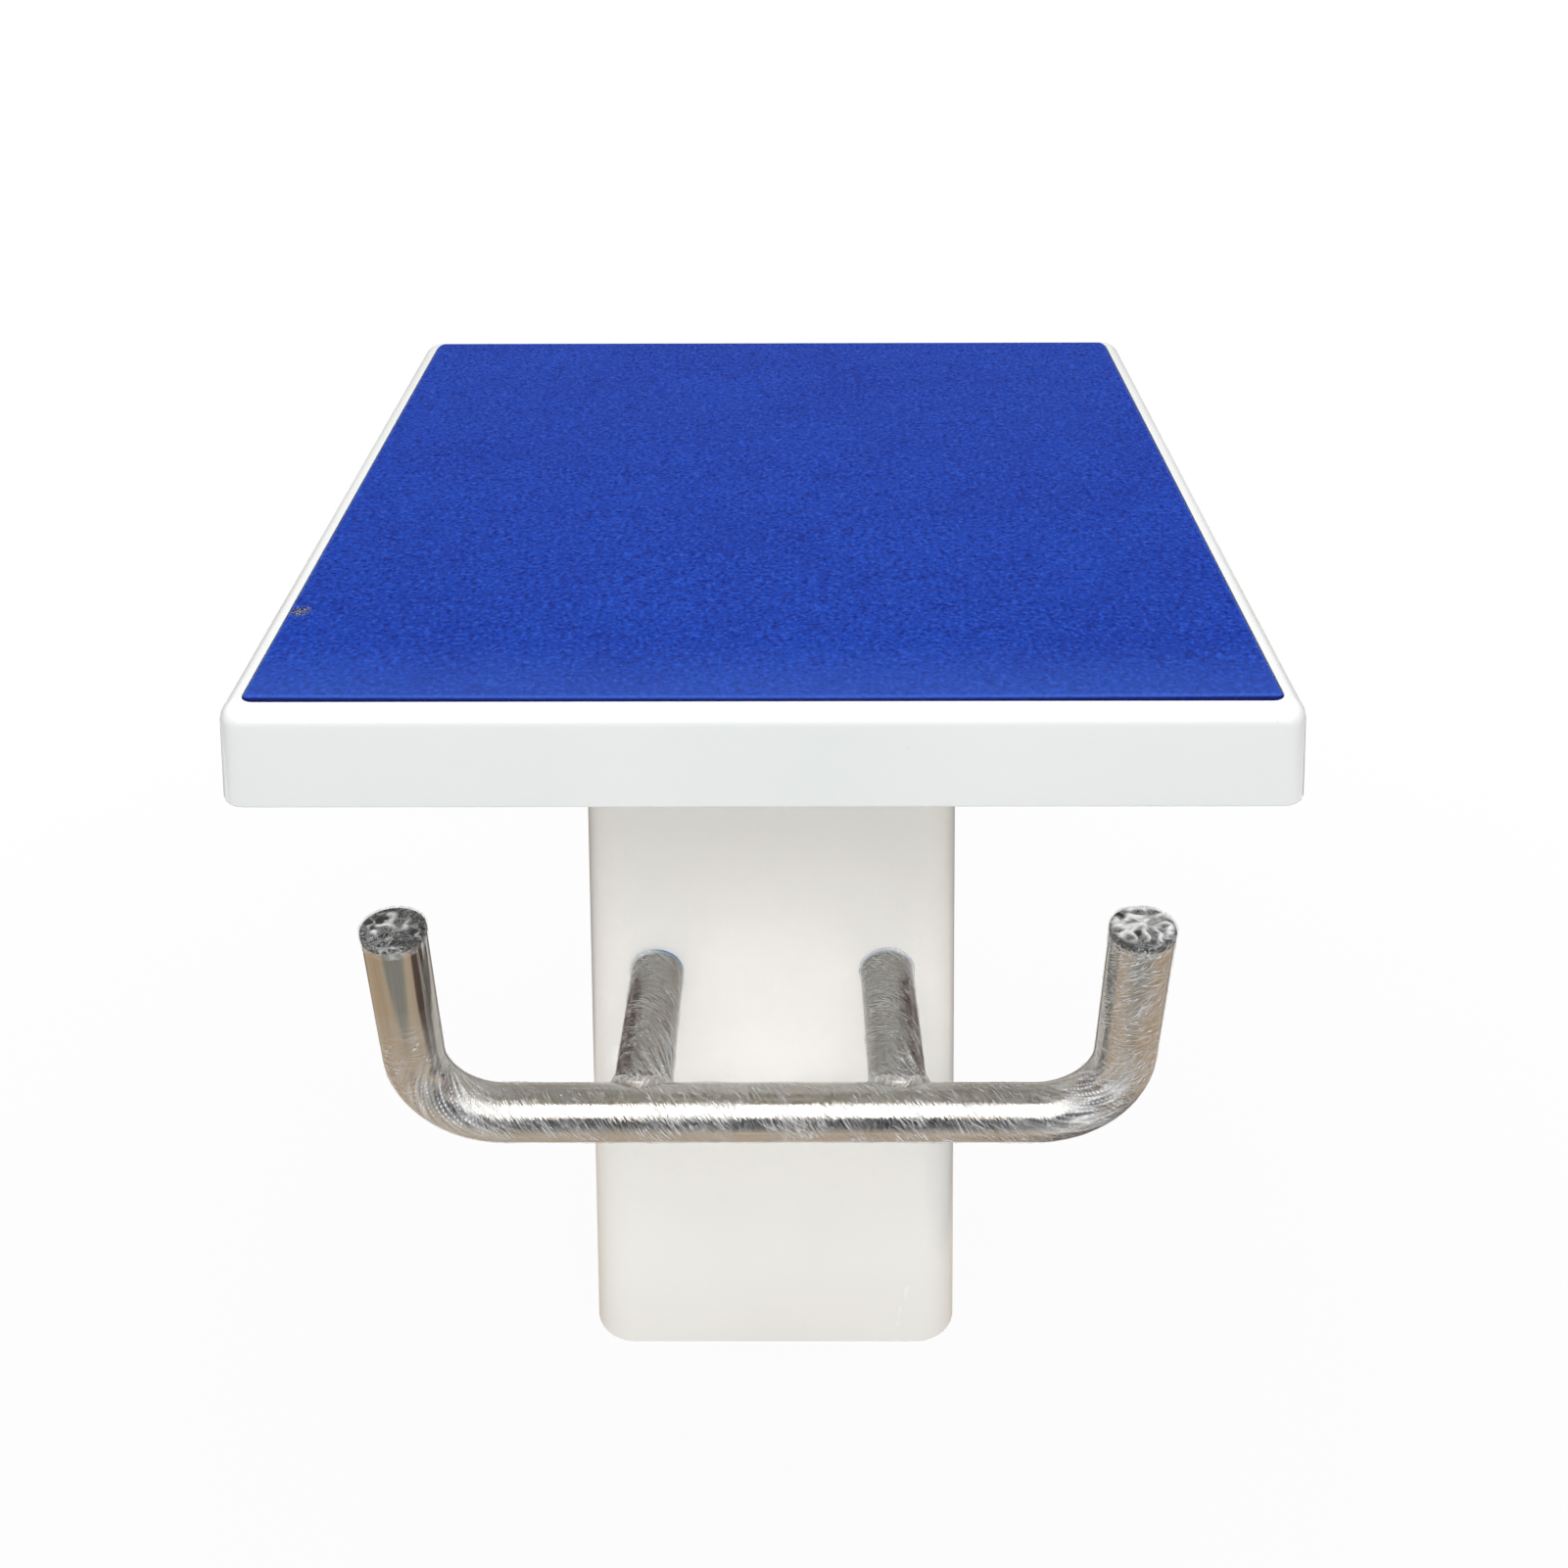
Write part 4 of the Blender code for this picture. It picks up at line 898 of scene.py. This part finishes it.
def handle_film(station, turn):
    """Film on the bar, bends and horns, with a torn edge low on the left horn and slack in the bends."""
    near_start = max(0.0, 1.0 - (station - film_start) / TEAR_REACH)
    distance = station + torn_edge(turn) * near_start
    rise, crease = film_height(turn, distance, 0.0)
    bent = max(0.0, 1.0 - abs(abs(distance) - (bend_start + bend_end) / 2) / BEND_REACH)
    inside = max(0.0, math.cos(turn))
    towards = max(0.0, math.cos(turn - 0.8))
    slack = BEND_SLACK * bent * inside * abs(noise.noise(Vector((turn * 1.6, distance * 170.0, 9.0))))
    streaked = crease_height(turn, distance, 33.0, *STREAKED)
    return rise + slack, min(1.0, crease + 0.9 * bent * towards * streaked), distance


def arm_route(node):
    """The route along one support tube, measured from its root on the wall."""
    root = on_bar(node) + arm_inward * ARM_REACH

    def route(distance):
        return root - arm_inward * distance, arm_upward, Vector((1.0, 0.0, 0.0))

    return route


def arm_film(side, start, seed):
    """Film on a support tube, bound over its root and bunched into folds where it meets the bar."""

    def swell(station, turn):
        clear = TUBE_RADIUS + FILM_STAND_OFF + FILM_CREASE
        height = SADDLE_SHARE * TUBE_RADIUS * math.cos(turn)
        end = ARM_REACH - math.sqrt(clear ** 2 - height ** 2)
        distance = start + station * (end - start)
        rise, crease = film_height(turn, distance, seed)
        bunch = max(0.0, (station - BUNCH_START) / (1.0 - BUNCH_START)) ** 2
        fan = max(0.0, (station - FAN_START) / (1.0 - FAN_START)) * max(0.0, math.sin(turn + 0.6))
        folds = crease_height(turn, distance, seed + 5.0, *FOLDED)
        bound = clamped(1.0 - station / BINDING_SHARE) ** 0.5
        bound *= 1.0 if side == "right" else clamped(0.6 - 1.5 * math.sin(turn))
        rise += bunch * (BUNCH_RISE + FOLD_RISE * folds) + BINDING_RISE * bound
        return rise, min(1.0, 2.0 * crease + 0.85 * max(fan, bunch) * folds + 0.65 * bound), distance

    return swell


film_rings = np.arange(film_start, half_length - FILM_TOP_GAP, FILM_RING_SPACING)
add_film("film_on_handle", skin_mesh("film_on_handle", film_rings, FILM_SIDES, handle_centre, handle_film))
for side, start, seed in (("left", 0.0026, 61.0), ("right", 0.0002, 83.0)):
    name = "film_on_arm_" + side
    add_film(name, skin_mesh(name, np.linspace(0.0, 1.0, ARM_FILM_RINGS), FILM_SIDES,
                             arm_route("support_arm_" + side), arm_film(side, start, seed)))


# Where the support tubes meet the bar, the film is bunched into a crumpled collar over the weld.
# It is the same clear film, whitened by its many folds: part real whitening, part painted highlight.

COLLAR_RADIUS = 0.0034
COLLAR_SIDES = 40
COLLAR_STEPS = 230
COLLAR_FOLD = 0.0006
COLLAR_END = 0.0003
LOOK_AHEAD = 0.01


def film_collar_mesh(name, joint, seed):
    """A crumpled ring round the saddle, wide enough to hide the bead that it lies over."""
    points, wraps, creases = [], [], []
    for step in range(COLLAR_STEPS):
        along = 2 * math.pi * step / COLLAR_STEPS
        centre = saddle_place(joint, along)
        forward = (saddle_place(joint, along + LOOK_AHEAD) - centre).normalized()
        side = forward.cross(arm_inward).normalized()
        top = side.cross(forward)
        for place in range(COLLAR_SIDES):
            turn = 2 * math.pi * place / COLLAR_SIDES
            spot = Vector((math.cos(along) * 6.5, math.sin(along) * 6.5, seed)) + Vector(
                (math.cos(turn), math.sin(turn), 0.0)) * 0.7
            folds = max(0.0, 1.0 - 3.0 * abs(noise.noise(spot)))
            ends = max(0.0, 1.0 - 3.0 * abs(noise.noise(spot * 2.1 + Vector((0.0, 0.0, 7.0)))))
            reach = COLLAR_RADIUS + COLLAR_FOLD * folds + COLLAR_END * ends
            points.append(round_place(centre, side, top, reach, turn))
            wraps.append((reach * math.cos(turn) * 2, reach * math.sin(turn) * 2, TUBE_RADIUS * along + seed))
            creases.append(min(1.0, 0.12 + 0.45 * folds ** 2 + 0.40 * ends ** 2))
    faces = ring_faces(COLLAR_STEPS, COLLAR_SIDES, closed=True)
    return film_mesh(name, points, faces, wraps, creases)


for side, seed in (("left", 12.0), ("right", 31.0)):
    name = "film_collar_" + side
    add_piece(name, film_collar_mesh(name, on_bar("weld_bead_" + side), seed), film, "stainless_tube")


# More film is gathered over each plug and twisted down onto it in loose crumpled folds.
# On the right horn it runs on from the wound film, and on the left it covers the plug alone.

CAP_RINGS = 40
CAP_SECTORS = 120
CAP_RIM = 0.0196
CAP_SKIRT = 0.009
CAP_HEIGHT = 0.0058
CAP_EDGE = 0.004
CRUMPLE_UP = 0.0016
CRUMPLE_OUT = 0.0012


def film_cap_mesh(name, side, seed, gathered, cover):
    """A crumpled disc turned down over the plug's rim; it creases out to gathered, more with more cover."""
    end, _, out = handle_centre(side * half_length)
    up = (handle_up * math.sin(BEND_ANGLE) + Vector((side * math.cos(BEND_ANGLE), 0.0, 0.0))).normalized()
    sideways = out.cross(up)
    points, wraps, creases = [], [], []
    for ring in range(CAP_RINGS + 1):
        run = (CAP_RIM + CAP_SKIRT) * ring / CAP_RINGS
        for step in range(CAP_SECTORS if ring else 1):
            turn = 2 * math.pi * step / CAP_SECTORS
            flat = Vector((math.cos(turn), math.sin(turn), 0.0)) * run
            folds = abs(noise.noise(flat * 130.0 + Vector((0.0, 0.0, seed))))
            rays = abs(round_noise(turn, 2.2, seed + run * 40.0))
            lit = clamped(cover + 1.9 * noise.noise(flat * 85.0 + Vector((5.0, 0.0, seed))))
            kept = clamped((gathered - run) / CAP_EDGE)
            crumple = lit * kept * (max(0.0, 1.0 - 2.8 * folds) + 0.35 * max(0.0, 1.0 - 3.6 * rays))
            if run > CAP_RIM:
                reach = CAP_RIM + CRUMPLE_OUT * crumple
                level = CAP_HEIGHT - (run - CAP_RIM)
            else:
                reach = run
                level = CAP_HEIGHT + CRUMPLE_UP * crumple * min(1.0, (CAP_RIM - run) / CAP_EDGE)
            points.append(round_place(end + up * level, sideways, out, reach, turn))
            wraps.append((flat.x, flat.y, seed))
            creases.append(clamped((crumple - 0.10) / 0.80))
    middle = [(0, 1 + step, 1 + (step + 1) % CAP_SECTORS) for step in range(CAP_SECTORS)]
    return film_mesh(name, points, middle + ring_faces(CAP_RINGS, CAP_SECTORS, 1), wraps, creases)


for hand, side, seed, gathered, cover in ((-1, "left", 8.0, 0.0150, 0.50), (1, "right", 21.0, 0.020, 0.90)):
    name = "film_cap_" + side
    add_film(name, film_cap_mesh(name, hand, seed, gathered, cover), "plug_black")


# The room has a pale floor that fades to white, soft lamps, and mats and cards that only gloss sees.
# The mats, cards and windows stand for what the shiny parts mirror in the photograph.

FLOOR_REACH = 14.0
FADE_START = 0.45
FADE_END = 1.5
FLOOR_GLOW = 0.95
SKY_LEVEL = 0.45
GLINT_SPREAD = math.radians(11.0)
BLOCK_MIDDLE = (0.0, 0.0, 0.45)
DARK_WATER = (0.022, 0.025, 0.040)
WARM_DARK = (0.17, 0.105, 0.07)
WINDOW = (3.2, 3.2, 3.2)
WHITE = (1.0, 1.0, 1.0, 1.0)
ROOM_CARDS = (
    ("mat_far", (-2.4, -3.4, 0.001), (2.4, -1.02, 0.001), DARK_WATER),
    ("mat_front", (-1.6, -1.02, 0.001), (1.6, -0.66, 0.001), (0.26, 0.265, 0.235)),
    ("skirting", (-2.4, -3.39, 0.0), (2.4, -3.39, 1.70), DARK_WATER),
    ("mat_middle", (-0.5, -0.66, 0.001), (0.5, 0.30, 0.001), (0.60, 0.48, 0.35)),
    ("mat_left", (-1.4, -0.66, 0.001), (-0.5, 0.30, 0.001), (0.60, 0.47, 0.33)),
    ("mat_right", (0.5, -0.66, 0.001), (1.4, 0.30, 0.001), (0.60, 0.47, 0.33)),
    ("mat_back", (-1.4, 0.30, 0.001), (1.4, 1.60, 0.001), WARM_DARK),
    ("mat_corner", (0.24, -0.44, 0.002), (0.499, 0.299, 0.002), (0.08, 0.05, 0.035)),
    ("card_left", (-2.0, -2.0, 0.0), (-2.0, 3.0, 1.5), WARM_DARK),
    ("card_right", (2.0, -2.0, 0.0), (2.0, 3.0, 1.5), WARM_DARK),
    ("card_ceiling", (-4.0, 0.05, 4.0), (4.0, 5.0, 4.0), (0.44, 0.42, 0.39)),
    ("card_back", (-4.0, 5.0, 0.0), (4.0, 5.0, 4.0), (0.42, 0.39, 0.35)),
    ("window_front", (-2.4, -3.4, 1.70), (2.4, -3.4, 3.2), WINDOW),
    ("window_roof", (-2.4, -3.4, 3.2), (2.4, 0.1, 3.9), WINDOW))


def room_sheet(name, low, high, finish):
    """A flat sheet between two opposite corners, with its first edge across the block if it can be."""
    second, fourth = (high[0], low[1], low[2]), (low[0], high[1], high[2])
    if low[0] == high[0]:
        second, fourth = (low[0], high[1], low[2]), (low[0], low[1], high[2])
    mesh = bpy.data.meshes.new(name)
    mesh.from_pydata([low, second, high, fourth], [], [(0, 1, 2, 3)])
    mesh.materials.append(finish.material)
    return new_object(name, mesh)


def soft_lamp(name, place, size, watts, target=BLOCK_MIDDLE, spread=math.pi, shadow=True):
    """An area lamp that gloss doesn't see."""
    data = bpy.data.lights.new(name, "AREA")
    data.shape = "RECTANGLE"
    data.size, data.size_y = size
    data.energy = watts
    data.spread = spread
    if not shadow:
        data.use_shadow = False
        # Sampled in both ways, the lamp would still cast part of its shadow.
        data.cycles.use_multiple_importance_sampling = False
    lamp = new_object(name, data)
    lamp.location = place
    lamp.rotation_euler = (Vector(target) - Vector(place)).to_track_quat("-Z", "Y").to_euler()
    lamp.visible_glossy = False


ground = Finish("pale_floor")
ray = ground.add("ShaderNodeLightPath").outputs
seen = ground.most(ground.most(ray["Is Camera Ray"], ray["Is Glossy Ray"]), ray["Is Transmission Ray"])
away = ground.add("ShaderNodeVectorMath", {0: ground.place}, operation="LENGTH").outputs["Value"]
share = ground.times(seen, ground.band(away, FADE_START, FADE_END, FLOOR_GLOW, 1.0))
ground.surface(Base_Color=(0.44, 0.44, 0.44, 1.0), Roughness=0.9)
white_light = ground.add("ShaderNodeEmission", {"Color": WHITE, "Strength": 1.0}).outputs[0]
floor_mix = ground.add("ShaderNodeMixShader", {0: share, 1: ground.shader.outputs[0], 2: white_light})
ground.join(floor_mix.outputs[0], ground.tree.nodes["Material Output"].inputs["Surface"])
floor = room_sheet("floor", (-FLOOR_REACH, -FLOOR_REACH, 0.0), (FLOOR_REACH, FLOOR_REACH, 0.0), ground)

# Lamps, shadows and the camera pass through the cards.
for name, low, high, colour in ROOM_CARDS:
    felt = Finish(name)
    felt.surface(Base_Color=(0.0, 0.0, 0.0, 1.0), Emission_Color=(*colour, 1.0), Emission_Strength=1.0)
    card = room_sheet(name, low, high, felt)
    for rays in ("camera", "diffuse", "transmission", "shadow", "volume_scatter"):
        setattr(card, "visible_" + rays, False)

world = bpy.data.worlds.new("soft_room")
bpy.context.scene.world = world
world.use_nodes = True
sky = Nodes(world.node_tree)
sky_ray = sky.add("ShaderNodeLightPath").outputs
sky_seen = sky.most(sky_ray["Is Camera Ray"], sky_ray["Is Glossy Ray"])
background = sky.tree.nodes["Background"]
sky.join(WHITE, background.inputs["Color"])
sky.join(sky.band(sky_seen, 0.0, 1.0, SKY_LEVEL, 1.0), background.inputs["Strength"])

soft_lamp("high_window", (0.0, -2.4, 3.0), (2.8, 1.4), 52.0)
soft_lamp("low_window", (0.0, -1.6, 0.72), (1.8, 0.7), 9.0, shadow=False)
soft_lamp("water_glint", (0.0, -1.25, 0.85), (0.3, 0.2), 0.035, (0.0, -0.01, 0.36), GLINT_SPREAD, False)
soft_lamp("roof_panel", (0.0, 0.1, 3.4), (2.4, 2.0), 60.0)
soft_lamp("rear_panel", (0.0, 3.2, 1.9), (3.0, 1.6), 20.0)
soft_lamp("left_panel", (-2.6, -0.6, 1.8), (1.8, 1.8), 9.0)
soft_lamp("right_panel", (2.6, -0.6, 1.8), (1.8, 1.8), 10.5)


# The camera stands in front of the block and above it, where the photograph was taken from.
# Its place, turns and lens come from a perspective fit of the solids to the photograph.

LENS = 33.63
SENSOR = 36.0
SHIFT_UP = 0.0309
CAMERA_PLACE = Vector((0.0126, -0.8485, 1.0345))
CAMERA_PITCH = math.radians(32.05)
CAMERA_YAW = math.radians(0.26)
CAMERA_ROLL = math.radians(-0.206)

camera_data = bpy.data.cameras.new("photo_camera")
camera_data.lens = LENS
camera_data.sensor_width = SENSOR
camera_data.shift_y = SHIFT_UP
camera = new_object("photo_camera", camera_data)
aim = (Matrix.Rotation(CAMERA_YAW, 4, "Z") @ Matrix.Rotation(math.pi / 2 - CAMERA_PITCH, 4, "X")
       @ Matrix.Rotation(CAMERA_ROLL, 4, "Z"))
camera.matrix_world = Matrix.Translation(CAMERA_PLACE) @ aim
bpy.context.scene.camera = camera
bpy.context.scene.view_settings.view_transform = "Standard"
